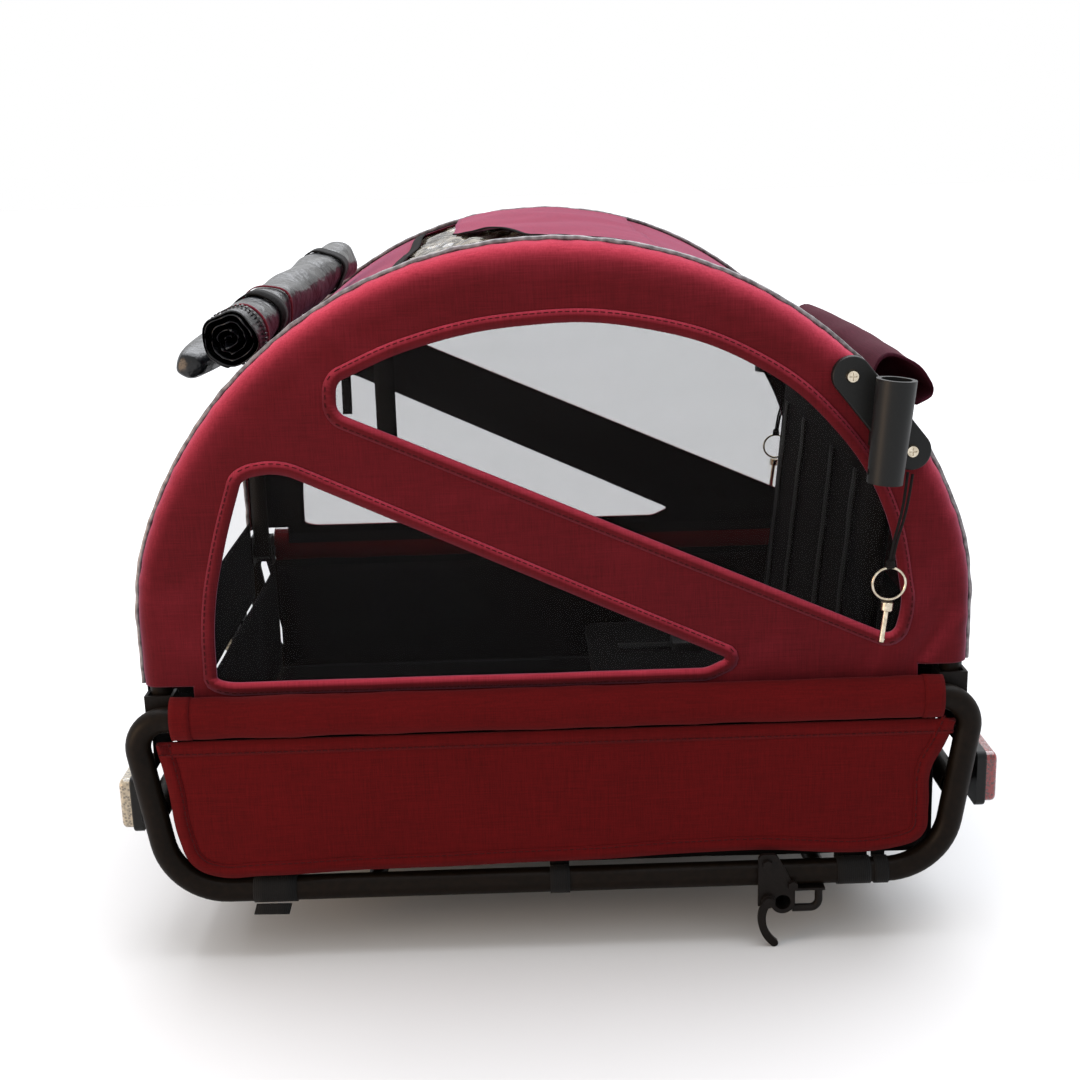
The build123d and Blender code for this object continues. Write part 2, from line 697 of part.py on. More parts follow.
# ---------------------------------------------------------------- push-handle sockets
handle_x, handle_z = crown_point((handle_screw_front_angle + handle_screw_rear_angle) / 2, hoop_inset)
lean = Plane(origin=(handle_x, -handle_tube_y, handle_z - handle_drop), z_dir=(
    math.sin(math.radians(handle_lean)), 0, math.cos(math.radians(handle_lean))))
handle_taper = math.degrees(math.atan((handle_tube_r - handle_foot_r) / handle_tube_length))
plate_face_y = panel_face_y + handle_plate_gap
with BuildPart() as left_handle_socket:
    with BuildSketch(Plane.XZ.offset(plate_face_y)):
        for angle in (handle_screw_front_angle, handle_screw_rear_angle):
            with Locations(crown_point(angle, hoop_inset)):
                Circle(handle_ear_r)
        make_hull()
    extrude(amount=handle_plate)
    fillet(left_handle_socket.faces().sort_by(Axis.Y)[0].edges(), radius=2)
    with BuildSketch(lean.offset(-handle_tube_length / 2)):
        Circle(handle_foot_r)
    extrude(amount=handle_tube_length, taper=-handle_taper)
    with BuildSketch(lean.offset(-handle_tube_length * 0.2)):
        with Locations((0, handle_tube_y - plate_face_y)):
            Rectangle(24, handle_tube_y - plate_face_y, align=(Align.CENTER, Align.MAX))
    extrude(amount=handle_tube_length * 0.6)
    with BuildSketch(lean.offset(-handle_tube_length / 2)):
        Circle(handle_bore_r)
    extrude(amount=handle_tube_length, mode=Mode.SUBTRACT)
    with Locations((handle_x - 3, -handle_tube_y, handle_z - handle_drop - 38)):
        Cylinder(handle_pin_hole_r, 3 * handle_tube_r, rotation=(0, 90, 0), mode=Mode.SUBTRACT)
    for angle in (handle_screw_front_angle, handle_screw_rear_angle):
        x, z = crown_point(angle, hoop_inset)
        with Locations((x, -plate_face_y - handle_plate / 2, z)):
            Cylinder(screw_r + screw_gap, 2 * handle_plate, rotation=(90, 0, 0), mode=Mode.SUBTRACT)
save(left_handle_socket, "left_handle_socket")
save(mirrored(left_handle_socket), "right_handle_socket")

with BuildPart() as left_socket_screws:
    for angle in (handle_screw_front_angle, handle_screw_rear_angle):
        x, z = crown_point(angle, hoop_inset)
        head_y = -plate_face_y - handle_plate - 0.1
        with BuildSketch(Plane((x, head_y, z), z_dir=(0, -1, 0))):
            Circle(screw_head_r)
        extrude(amount=screw_head_height, taper=18)
        with BuildSketch(Plane((x, head_y, z), z_dir=(0, 1, 0))):
            Circle(screw_r)
        extrude(amount=handle_plate + handle_plate_gap + cloth + hoop_tube_r)
        with Locations((x, head_y - screw_head_height, z)):
            Box(7.5, 4, 1.3, mode=Mode.SUBTRACT)
            Box(1.3, 4, 7.5, mode=Mode.SUBTRACT)
save(left_socket_screws, "left_socket_screws")
save(mirrored(left_socket_screws), "right_socket_screws")

# ---------------------------------------------------------------- lanyards, rings, locking pins
lanyard_y = handle_tube_y - 14.5
lanyard_points = (
    (handle_x + 24.5, 486.0), (handle_x + 21.0, 463.0), (handle_x + 16.5, 441.0),
    (handle_x + 9.5, 418.0), (handle_x + 7.0, 397.0),
)
ring_x = handle_x + 6.0
ring_z = 397.0 - 1.2 - ring_wire_r - ring_r


def bend_radii(points):
    """The largest radius that each corner of a route allows."""
    radii = []
    for before, here, after in zip(points, points[1:], points[2:]):
        run_in = Vector(*here) - Vector(*before)
        run_out = Vector(*after) - Vector(*here)
        half_turn = math.radians(run_in.get_angle(run_out) / 2)
        radii.append(0.45 * min(run_in.length, run_out.length) / math.tan(half_turn))
    return radii


lanyard_radii = bend_radii(lanyard_points)
print("lanyard radii", [round(r, 1) for r in lanyard_radii])
with BuildPart() as left_pin_lanyard:
    with BuildLine(Plane.XZ.offset(lanyard_y)) as route:
        FilletPolyline(*lanyard_points, radius=lanyard_radii)
    with BuildSketch(Plane(origin=route.wire() @ 0, z_dir=route.wire() % 0)):
        Circle(lanyard_r)
    sweep(path=route.wire())
print("lanyard length", round(route.wire().length, 1), "volume over section x length",
      round(left_pin_lanyard.part.volume / (math.pi * lanyard_r**2 * route.wire().length), 4))
save(left_pin_lanyard, "left_pin_lanyard")
save(mirrored(left_pin_lanyard), "right_pin_lanyard")

with BuildPart() as left_split_ring:
    with Locations((ring_x, -lanyard_y, ring_z)):
        Torus(ring_r, ring_wire_r, rotation=(90, 0, 0))
save(left_split_ring, "left_split_ring")
save(mirrored(left_split_ring), "right_split_ring")

pin_lean = 7.0
pin_top_z = ring_z - ring_r - ring_wire_r - 0.8
pin_down = Plane(origin=(ring_x - 1, -lanyard_y, pin_top_z), z_dir=(
    -math.sin(math.radians(pin_lean)), 0, -math.cos(math.radians(pin_lean))))
with BuildPart() as left_locking_pin:
    with BuildSketch(pin_down):
        Circle(6)
    extrude(amount=9)
    fillet(left_locking_pin.edges(), radius=1.2)
    with BuildSketch(pin_down.offset(8)):
        Circle(pin_shaft_r)
    extrude(amount=34)
    chamfer(left_locking_pin.edges().sort_by(Axis.Z)[0], length=0.9)
    with Locations(pin_down.offset(39).origin + Vector(pin_shaft_r - 0.6, 0, 0)):
        Sphere(1.4)
save(left_locking_pin, "left_locking_pin")
save(mirrored(left_locking_pin), "right_locking_pin")

# ---------------------------------------------------------------- seat, harness, buckles
seat_top_z = seat_bottom_z + seat_thickness
with BuildPart() as seat_base:
    seat_length = seat_rear_x - seat_front_x
    with Locations(((seat_front_x + seat_rear_x) / 2, 0, seat_bottom_z)):
        Box(seat_length, 2 * seat_half_width, seat_thickness, align=(Align.CENTER, Align.CENTER, Align.MIN))
    fillet(seat_base.edges(), radius=12)
save(seat_base, "seat_base")

back_foot = Vector(seat_rear_x - 2, 0, seat_top_z + 4)
back_run = Vector(back_top_x, 0, back_top_z) - back_foot
with BuildPart() as seat_back:
    with BuildSketch(Plane(origin=back_foot, x_dir=(0, 1, 0), z_dir=back_run)):
        Rectangle(2 * seat_half_width, back_thickness, align=(Align.CENTER, Align.MIN))
    extrude(amount=back_run.length)
    fillet(seat_back.edges(), radius=10)
save(seat_back, "seat_back")

# Harness of each seat: two shoulder straps, a lap strap and a short crotch strap.
seat_y = 150.0
strap_spread = 62.0
lift = webbing / 2 + 0.4
strap_out = back_thickness + 0.6
with BuildPart() as harness_webbing:
    for y in (-seat_y, seat_y):
        with Locations((seat_rear_x - 92, y, seat_top_z + lift)):
            Box(webbing_width, 300 - webbing_width, webbing)
        with Locations((seat_front_x + 82, y, seat_top_z + lift)):
            Box(70, webbing_width, webbing)
        with BuildSketch(Plane(origin=back_foot, x_dir=(0, 1, 0), z_dir=back_run)):
            with Locations((y - strap_spread, strap_out), (y + strap_spread, strap_out)):
                Rectangle(webbing_width, webbing, align=(Align.CENTER, Align.MIN))
        extrude(amount=back_run.length - 60)
save(harness_webbing, "harness_webbing")

buckle_x = seat_front_x + 140.0
buckle_thickness = 12.0
button_travel = 3.0
button_r = 9.0
button_gap = 0.35
with BuildPart() as harness_buckles:
    for y in (-seat_y, seat_y):
        with BuildSketch(Plane.XY.offset(seat_top_z + 0.5)):
            with Locations((buckle_x, y)):
                RectangleRounded(2 * buckle_half_width, 2 * buckle_half_width, 8)
        extrude(amount=buckle_thickness)
    fillet(harness_buckles.faces().group_by(Axis.Z)[-1].edges(), radius=2)
    with BuildSketch(Plane.XY.offset(seat_top_z + 0.5 + buckle_thickness)):
        with Locations((buckle_x, -seat_y), (buckle_x, seat_y)):
            Circle(button_r + button_gap)
    extrude(amount=-buckle_thickness + 3, mode=Mode.SUBTRACT)
save(harness_buckles, "harness_buckles")

for label, y in (("left_buckle_button", -seat_y), ("right_buckle_button", seat_y)):
    with BuildPart() as button:
        with BuildSketch(Plane((buckle_x, y, seat_top_z + 0.5 + buckle_thickness + 1))):
            Circle(button_r)
        extrude(amount=-buckle_thickness + 2 + button_travel + button_gap)
        chamfer(button.edges().sort_by(Axis.Z)[-1], length=0.8)
    save(button, label)

print("cabin", 2 * arch_half, "x", 2 * frame_y, "x", arch_top_z, "mm between its main lines")
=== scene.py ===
# %% [markdown]
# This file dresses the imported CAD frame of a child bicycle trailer's cabin. The CAD gives every
# piece its place; here each soft piece is cut, bent and sewn again with mesh tools, and each hard
# piece gets its finish. Lengths are in metres, so millimetres are written with a factor.
# %% Load the frame
import math

import bmesh
import bpy
from mathutils import Matrix, Vector, noise


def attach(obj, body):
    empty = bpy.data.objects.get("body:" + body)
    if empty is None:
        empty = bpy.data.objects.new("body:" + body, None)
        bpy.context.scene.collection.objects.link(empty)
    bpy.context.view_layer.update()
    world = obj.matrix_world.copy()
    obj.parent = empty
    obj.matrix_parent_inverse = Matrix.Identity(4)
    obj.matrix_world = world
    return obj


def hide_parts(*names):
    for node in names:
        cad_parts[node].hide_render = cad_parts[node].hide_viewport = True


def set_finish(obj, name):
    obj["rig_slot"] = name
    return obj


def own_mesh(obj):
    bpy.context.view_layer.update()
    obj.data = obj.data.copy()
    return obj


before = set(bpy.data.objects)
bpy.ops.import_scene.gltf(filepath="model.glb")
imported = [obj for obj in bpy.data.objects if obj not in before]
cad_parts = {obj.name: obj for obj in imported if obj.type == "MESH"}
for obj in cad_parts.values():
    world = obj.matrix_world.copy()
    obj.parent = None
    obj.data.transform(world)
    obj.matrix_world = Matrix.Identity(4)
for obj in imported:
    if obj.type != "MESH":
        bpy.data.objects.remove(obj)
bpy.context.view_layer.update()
mm = 0.001

# %% [markdown]
# The camera comes first, because the lanyards are laid for what it sees. It stands 1.4 m from the
# near side, a little above the roof, and looks down by about fifteen degrees.
# %% Camera
camera = bpy.data.objects.new("camera", bpy.data.cameras.new("camera"))
bpy.context.scene.collection.objects.link(camera)
camera.data.sensor_width = 36
camera.data.lens = 51.54
yaw, pitch, roll = -0.005546, 0.255403, -0.029093
camera.matrix_world = (
    Matrix.Translation((-0.0204, -1.785, 0.8089))
    @ Matrix.Rotation(yaw, 4, "Z")
    @ Matrix.Rotation(math.pi / 2 - pitch, 4, "X")
    @ Matrix.Rotation(roll, 4, "Z")
)
bpy.context.scene.camera = camera
bpy.context.scene.view_settings.view_transform = "Standard"
print("camera at", tuple(round(v, 3) for v in camera.location))

# %% [markdown]
# Colours are written as they look on a screen, in sRGB hex. Shaders work with light itself, so one
# function turns the hex into linear values. A second one adds a node with its settings and links,
# and every material below is made with those two.
# %% Colours and nodes
def linear(colour):
    """Linear RGBA of an sRGB hex colour."""
    parts = [int(colour[i : i + 2], 16) / 255 for i in (1, 3, 5)]
    return [p / 12.92 if p <= 0.04045 else ((p + 0.055) / 1.055) ** 2.4 for p in parts] + [1]


def add_node(material, kind, sockets=(), **settings):
    """Adds a node, sets its properties, and sets or links its input sockets."""
    node = material.node_tree.nodes.new(kind)
    for key, value in settings.items():
        setattr(node, key, value)
    for key, value in dict(sockets).items():
        if isinstance(value, bpy.types.NodeSocket):
            material.node_tree.links.new(value, node.inputs[key])
        else:
            node.inputs[key].default_value = value
    return node


def start_finish(name, sockets):
    """A new material: its Principled shader with constant values on the sockets."""
    material = bpy.data.materials.new(name)
    material.use_nodes = True
    shader = material.node_tree.nodes["Principled BSDF"]
    for key, value in sockets.items():
        shader.inputs[key].default_value = value
    return material, shader


def bumped(material, shader, height, distance, strength=1.0):
    """Sends a height pattern to the shader as a bump of a real depth."""
    bump = add_node(material, "ShaderNodeBump",
                    {"Height": height, "Distance": distance, "Strength": strength})
    material.node_tree.links.new(bump.outputs["Normal"], shader.inputs["Normal"])


def two_tone(material, shader, share, dark, light, low=0.3, high=0.7):
    """Colours the shader between two tones by a pattern's value."""
    ramp = add_node(material, "ShaderNodeValToRGB", {"Fac": share})
    ramp.color_ramp.elements[0].position = low
    ramp.color_ramp.elements[0].color = linear(dark)
    ramp.color_ramp.elements[1].position = high
    ramp.color_ramp.elements[1].color = linear(light)
    material.node_tree.links.new(ramp.outputs["Color"], shader.inputs["Base Color"])
    return ramp


# %% [markdown]
# The cabin's cloth is coarse polyester with slubs: thick places in its yarns that show as short
# streaks both ways. The yarns are about half a millimetre apart, finer than the view can show, so
# the streaks are drawn 1.1 mm wide and 30 mm long. A noise stretched along one direction makes the
# yarns of that direction, and two of them are laid over each other. A soft sheen comes from loose
# fibres. Where the side cloth faces the sky, a paler and pinker tone is painted in as sky light,
# most of all as a painted highlight band along its top edge. The object's own normal says where it
# faces up, and the distance from the centre of the arch's crown, 291 mm up, says how near the top
# edge a point lies.
# %% Woven cloth
def stretched_noise(material, along, width, length, detail=3):
    """Streaks as wide as a yarn and as long as a slub, along one of the object's axes."""
    place = add_node(material, "ShaderNodeTexCoord").outputs["Object"]
    scale = [1 / (length if axis == along else width) for axis in "XYZ"]
    turned = add_node(material, "ShaderNodeMapping", {"Vector": place, "Scale": scale})
    grain = add_node(material, "ShaderNodeTexNoise",
                     {"Vector": turned.outputs["Vector"], "Scale": 1, "Detail": detail})
    return grain.outputs["Fac"]


def paint_sky_light(material, shader, tone, body, dark, light):
    """Painted sky light: a paler tone where the cloth faces up, and a band along the arch's top."""
    place = add_node(material, "ShaderNodeTexCoord")
    facing = add_node(material, "ShaderNodeSeparateXYZ", {0: place.outputs["Normal"]})
    upward = add_node(material, "ShaderNodeMapRange", {
        "Value": facing.outputs["Z"], "From Min": 0.0, "From Max": 0.7, "To Max": 0.8})
    side = add_node(material, "ShaderNodeMapping", {
        "Vector": place.outputs["Object"], "Location": (0, 0, -0.291), "Scale": (1, 0, 1)})
    reach = add_node(material, "ShaderNodeVectorMath", {0: side.outputs[0]}, operation="LENGTH")
    near_edge = add_node(material, "ShaderNodeMapRange", {
        "Value": reach.outputs["Value"], "From Min": 0.385, "From Max": 0.425, "To Max": 0.26},
        interpolation_type="SMOOTHSTEP")
    spot = add_node(material, "ShaderNodeSeparateXYZ", {0: place.outputs["Object"]})
    high = add_node(material, "ShaderNodeMapRange", {
        "Value": spot.outputs["Z"], "From Min": 0.36, "From Max": 0.66})
    band = add_node(material, "ShaderNodeMath", {0: near_edge.outputs[0], 1: high.outputs[0]},
                    operation="MULTIPLY")
    share = add_node(material, "ShaderNodeMath", {0: upward.outputs[0], 1: band.outputs[0]},
                     operation="ADD", use_clamp=True)
    pale = two_tone(material, shader, tone, dark, light, 0.4, 0.84)
    mixed = add_node(material, "ShaderNodeMix", {0: share.outputs[0], 6: body,
                     7: pale.outputs["Color"]}, data_type="RGBA")
    material.node_tree.links.new(mixed.outputs[2], shader.inputs["Base Color"])


def woven_cloth(name, weft, warp, dark, light, sheen=0.06, sheen_tint="#ff9aa8",
                width=1.1 * mm, sky_lit_tones=()):
    """Slubby cloth, yarns along two axes; two optional tones paint sky light where it faces up."""
    material, shader = start_finish(name, {
        "Roughness": 0.9, "Specular IOR Level": 0.08, "Sheen Weight": sheen,
        "Sheen Roughness": 0.45, "Sheen Tint": linear(sheen_tint)})
    wefts = stretched_noise(material, weft, width, 30 * mm)
    warps = stretched_noise(material, warp, width, 24 * mm)
    both = add_node(material, "ShaderNodeMath", {0: wefts, 1: warps}, operation="ADD")
    half = add_node(material, "ShaderNodeMath", {0: both.outputs[0], 1: 0.5}, operation="MULTIPLY")
    fade = stretched_noise(material, "none", 90 * mm, 90 * mm, detail=2)
    faded = add_node(material, "ShaderNodeMath", {0: fade, 1: 0.22}, operation="MULTIPLY")
    tone = add_node(material, "ShaderNodeMath", {0: half.outputs[0], 1: faded.outputs[0]},
                    operation="ADD")
    body = two_tone(material, shader, tone.outputs[0], dark, light, 0.4, 0.84)
    bumped(material, shader, half.outputs[0], 0.4 * mm, 0.5)
    # Painted sky light: paler tones mixed in where the cloth faces up and along its top edge.
    if sky_lit_tones:
        paint_sky_light(material, shader, tone.outputs[0], body.outputs["Color"], *sky_lit_tones)
    return material


# The side cloth is the roof's cloth, but its two tones are darker: painted shade for the upright
# side. Its pinker pair is painted sky light for where it faces up.
side_cloth = woven_cloth("side_panel_woven_polyester", "X", "Z", "#40080b", "#560e14", sheen=0.5,
                         sheen_tint="#c08aa8", sky_lit_tones=("#8c2433", "#b43c4e"))
roof_cloth = woven_cloth("roof_woven_polyester", "Y", "X", "#5c0f1d", "#7c1a2b", sheen=0.3,
                         sheen_tint="#d9a4d0")
rear_cloth = woven_cloth("rear_woven_polyester", "Y", "Z", "#420c14", "#661a27")
flap_cloth = woven_cloth("flap_woven_polyester", "Y", "Z", "#2a0c16", "#421826")
skirt_cloth = woven_cloth("lower_panel_woven_polyester", "X", "Z", "#3e0506", "#54090b", sheen=0.05)
lining = woven_cloth("black_lining_taffeta", "X", "Z", "#090808", "#131010", sheen=0.03,
                     sheen_tint="#8b8b90")
lining_across = woven_cloth("black_lining_taffeta_across", "Y", "Z", "#090808", "#131010",
                            sheen=0.03, sheen_tint="#8b8b90")
print("cloths", side_cloth.name, roof_cloth.name, lining.name)

# %% [markdown]
# Webbing is a flat belt woven with ribs across it; the wave texture gives the ribs, 2 mm apart.
# Reflective piping is a grey glass-bead tape round a cord: it is pale, a little shiny, and cracked
# into small facets where it bends.
# %% Webbing, thread and piping
def ribbed_webbing(name, direction, dark, light):
    """A woven belt whose ribs follow one another along an axis."""
    material, shader = start_finish(name, {"Roughness": 0.8, "Sheen Weight": 0.03,
                                           "Specular IOR Level": 0.15})
    place = add_node(material, "ShaderNodeTexCoord").outputs["Object"]
    ribs = add_node(material, "ShaderNodeTexWave", {"Vector": place, "Scale": 0.314 / (2 * mm),
                    "Distortion": 0.4}, wave_type="BANDS", bands_direction=direction)
    two_tone(material, shader, ribs.outputs["Fac"], dark, light, 0.1, 0.9)
    bumped(material, shader, ribs.outputs["Fac"], 0.4 * mm, 0.6)
    return material


webbing_x = ribbed_webbing("black_webbing_along_x", "X", "#050505", "#0c0b0b")
webbing_z = ribbed_webbing("black_webbing_along_z", "Z", "#050505", "#0c0b0b")
thread, thread_shader = start_finish("dark_red_polyester_thread", {"Roughness": 0.8,
                                                                "Specular IOR Level": 0.1})
two_tone(thread, thread_shader, stretched_noise(thread, "none", 2 * mm, 2 * mm),
         "#2a0709", "#430f12")
piping, piping_shader = start_finish("grey_glass_bead_piping", {
    "Roughness": 0.42, "Metallic": 0.25, "Specular IOR Level": 0.6})
facets = add_node(piping, "ShaderNodeTexVoronoi", {
    "Vector": add_node(piping, "ShaderNodeTexCoord").outputs["Object"], "Scale": 1 / (7 * mm)})
two_tone(piping, piping_shader, facets.outputs["Distance"], "#443e40", "#7f797b", 0.1, 0.8)
bumped(piping, piping_shader, facets.outputs["Distance"], 0.6 * mm, 0.5)
print("tapes", webbing_x.name, thread.name, piping.name)

# %% [markdown]
# The windows are clear vinyl film that greys what lies behind it. The skylight is the same film
# after years of folding: its creases catch the sky, and a swirl of a dark and a cream tone in its
# colour is painted sky reflection in the creases and painted shade between them. The film's
# alpha lets the light through, which also works where a viewer has no true refraction.
# %% Clear films
def vinyl_film(name, colour, alpha, gloss, crease, depth, swirl=()):
    """Clear plastic film; crease is the size of its ripples in metres, swirl their two tones."""
    material, shader = start_finish(name, {
        "Base Color": linear(colour), "Roughness": 0.12, "IOR": 1.53, "Alpha": alpha,
        "Specular IOR Level": gloss})
    ripples = stretched_noise(material, "none", crease, crease, detail=1)
    bumped(material, shader, ripples, depth, 0.6)
    # The swirl's cream tone is painted sky reflection, its dark tone painted shade between creases.
    if swirl:
        place = add_node(material, "ShaderNodeTexCoord").outputs["Object"]
        bands = add_node(material, "ShaderNodeTexNoise", {"Vector": place, "Scale": 1 / crease,
                         "Detail": 2, "Distortion": 2.5})
        two_tone(material, shader, bands.outputs["Fac"], *swirl, 0.42, 0.62)
    return material


window_film = vinyl_film("clear_window_vinyl", "#0d0d0e", 0.22, 0.08, 60 * mm, 0.8 * mm)
sky_film = vinyl_film("creased_skylight_vinyl", "#3c352b", 0.85, 0.5, 26 * mm, 10 * mm,
                      ("#1d1811", "#8d8473"))
cover_skin, cover_shader = start_finish("black_coated_rain_cover", {
    "Roughness": 0.33, "Specular IOR Level": 0.3, "Coat Weight": 0.12, "Coat Roughness": 0.2})
two_tone(cover_skin, cover_shader, stretched_noise(cover_skin, "none", 35 * mm, 35 * mm),
         "#050608", "#0c0e12")
bumped(cover_skin, cover_shader, stretched_noise(cover_skin, "none", 16 * mm, 16 * mm), 5 * mm, 0.7)
print("films", window_film.name, sky_film.name)

# %% [markdown]
# The frame tubes are dark enamel over steel, with a brown sheen where light grazes them. A faint
# orange-peel bump is what sprayed enamel always has. Levers, brackets and bolts share that finish,
# a little rougher. The ring, the pin and the screws are bright nickel plate.
# %% Enamel, plate and plastic
def hard_finish(name, dark, light, rough, grain, depth, **sockets):
    """A hard surface: two close tones, and a fine bump of a real grain size."""
    named = {key.replace("_", " "): value for key, value in sockets.items()}
    material, shader = start_finish(name, {"Roughness": rough, **named})
    pattern = stretched_noise(material, "none", grain, grain)
    two_tone(material, shader, pattern, dark, light)
    bumped(material, shader, pattern, depth, 0.35)
    return material


enamel = hard_finish("black_brown_enamel", "#0a0603", "#120b06", 0.5, 6 * mm, 0.1 * mm,
                     Coat_Weight=0.04, Coat_Roughness=0.3, Specular_IOR_Level=0.06)
forged = hard_finish("blackened_steel", "#0b0806", "#130e0c", 0.5, 3 * mm, 0.15 * mm,
                     Specular_IOR_Level=0.12)
nickel = hard_finish("bright_nickel_plate", "#a69a86", "#cfc5b2", 0.24, 4 * mm, 0.05 * mm,
                     Metallic=1.0)
socket_plastic = hard_finish("moulded_black_nylon", "#0b0c0c", "#121313", 0.45, 1.2 * mm, 0.08 * mm,
                             Specular_IOR_Level=0.2)
buckle_plastic = hard_finish("moulded_black_acetal", "#121213", "#1b1b1c", 0.4, 1.2 * mm, 0.06 * mm)
button_plastic = hard_finish("moulded_red_acetal", "#8f1413", "#a81f1c", 0.35, 2 * mm, 0.05 * mm)


def lens_plastic(name, dark, light):
    """Reflector acrylic: cube corners 3 mm apart behind a smooth face."""
    material, shader = start_finish(name, {"Roughness": 0.16, "IOR": 1.49, "Coat Weight": 0.8,
                                           "Coat Roughness": 0.04})
    cells = add_node(material, "ShaderNodeTexVoronoi", {
        "Vector": add_node(material, "ShaderNodeTexCoord").outputs["Object"],
        "Scale": 1 / (3 * mm)}, distance="CHEBYCHEV")
    two_tone(material, shader, cells.outputs["Distance"], dark, light, 0.15, 0.6)
    bumped(material, shader, cells.outputs["Distance"], 0.8 * mm, 0.6)
    return material


white_lens = lens_plastic("white_reflector_acrylic", "#5d5648", "#a59a84")
red_lens = lens_plastic("red_reflector_acrylic", "#3a0506", "#7a1113")
print("hard finishes", enamel.name, nickel.name, red_lens.name)

# %% [markdown]
# Every hard CAD piece keeps its shape and takes the finish its real counterpart has. The record
# sorts the pieces by body; here they are sorted by what they are made of.
# %% Finishes for the hard pieces
hard_pieces = {
    enamel: ["left_side_frame", "right_side_frame", "front_cross_tube", "rear_cross_tube",
             "floor_cross_tubes", "left_hoop", "right_hoop"],
    forged: ["left_axle_bracket", "right_axle_bracket", "left_guard_bar", "right_guard_bar",
             "left_release_lever", "right_release_lever", "hinge_brackets", "bracket_bolts",
             "pivot_bolts", "lever_pins"],
    nickel: ["left_split_ring", "right_split_ring", "left_locking_pin", "right_locking_pin",
             "left_socket_screws", "right_socket_screws"],
    socket_plastic: ["left_handle_socket", "right_handle_socket", "reflector_cases"],
    buckle_plastic: ["harness_buckles"],
    button_plastic: ["left_buckle_button", "right_buckle_button"],
    white_lens: ["front_reflectors"],
    red_lens: ["rear_reflectors"],
}
for finish, names in hard_pieces.items():
    for name in names:
        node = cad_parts[name]
        node.data.materials.clear()
        node.data.materials.append(finish)
print("finished", sum(len(names) for names in hard_pieces.values()), "hard pieces")

# %% [markdown]
# A locking pin hangs at each side on a doubled lanyard, so that it can't be lost. The lanyard
# leaves the bottom edge of the handle socket, hangs free and ends in a small knot round a split
# ring. Both strands are limp braided cord 2.8 mm thick. The line is a smooth NURBS spline with the
# same points as the CAD route.
# %% Lanyards
def enlist(name, data, body, slot, *finishes):
    """Puts a finished shape into the scene as a piece that rides on a body."""
    piece = bpy.data.objects.new(name, data)
    bpy.context.scene.collection.objects.link(piece)
    for finish in finishes:
        data.materials.append(finish)
    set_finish(piece, slot)
    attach(piece, body)
    return piece


braid = woven_cloth("braided_black_cord", "Z", "X", "#0b0a0a", "#1d1a1a", sheen=0.1,
                    sheen_tint="#8b8b90", width=1.0 * mm)
strand_routes = {
    "fore": ((341.5, 341, 488), (338.4, 344.5, 463), (334.2, 345.5, 441), (328.0, 345.5, 418),
             (325.1, 345.5, 397)),
    "aft": ((346.2, 341, 486), (342.5, 344.5, 463), (337.8, 345.5, 441), (330.9, 345.5, 418),
            (327.9, 345.5, 397)),
}


def lay_strand(name, route, side, body):
    """One strand of a lanyard as a smooth tube."""
    curve = bpy.data.curves.new(name, "CURVE")
    curve.dimensions = "3D"
    spline = curve.splines.new("NURBS")
    spline.points.add(len(route) - 1)
    for point, (x, y, z) in zip(spline.points, route):
        point.co = (x * mm, side * y * mm, z * mm, 1)
    spline.order_u = 3
    spline.use_endpoint_u = True
    spline.resolution_u = 12
    curve.bevel_depth = 1.4 * mm
    curve.use_fill_caps = True
    return enlist(name, curve, body, "black_webbing", braid)


def tie_knot(name, side, body):
    """Three tight turns of the strands round the top of the ring."""
    form = bmesh.new()
    for turn, (lift, radius) in enumerate(((0.5, 3.0), (3.2, 3.5), (5.9, 2.8))):
        start = Matrix.Translation((radius * mm, 0, 0)) @ Matrix.Rotation(math.pi / 2, 4, "X")
        made = bmesh.ops.create_circle(form, segments=10, radius=1.5 * mm, matrix=start)
        rim = list({edge for vert in made["verts"] for edge in vert.link_edges})
        bmesh.ops.spin(form, geom=made["verts"] + rim, cent=(0, 0, 0), axis=(0, 0, 1),
                       angle=math.tau, steps=24, use_merge=True)
        fresh = [vert for vert in form.verts if not vert.tag]
        tilt = Matrix.Rotation(math.radians(12 * (turn - 1)), 4, "X")
        bmesh.ops.transform(form, matrix=tilt, verts=fresh)
        bmesh.ops.translate(form, vec=(326.4 * mm, side * 345.5 * mm, (394.5 + lift) * mm),
                            verts=fresh)
        for vert in fresh:
            vert.tag = True
    bmesh.ops.remove_doubles(form, verts=form.verts, dist=1e-6)
    bmesh.ops.recalc_face_normals(form, faces=form.faces)
    mesh = bpy.data.meshes.new(name)
    form.to_mesh(mesh)
    form.free()
    mesh.shade_smooth()
    return enlist(name, mesh, body, "black_webbing", braid)


for hand, side in (("left", -1), ("right", 1)):
    body = hand + "_dome"
    knot = tie_knot(hand + "_lanyard_knot", side, body)
    for label, route in strand_routes.items():
        strand = lay_strand(f"{hand}_lanyard_{label}", route, side, body)
        extras = [knot, hand + "_split_ring", hand + "_locking_pin"] if label == "fore" else []
    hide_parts(hand + "_pin_lanyard")
print("two strands and a knot on each side")

# %% [markdown]
# The dome is one line in side view: a straight rear leg, a tight shoulder, a wide crown, and the
# same again at the front. Cloth that is cut flat and bent over it needs two things: the point at a
# distance along that line, and the way round, how far a point lies along it and inside it.
# %% The arch
arch_half, crown_r, crown_z, shoulder_r = 414 * mm, 425 * mm, 291 * mm, 250 * mm
shoulder_x = arch_half - shoulder_r
shoulder_z = crown_z + math.sqrt((crown_r - shoulder_r) ** 2 - shoulder_x**2)
join = math.atan2(shoulder_z - crown_z, shoulder_x)
crown_run = crown_r * (math.pi / 2 - join)
shoulder_run = shoulder_r * join
hoop_y = 310 * mm


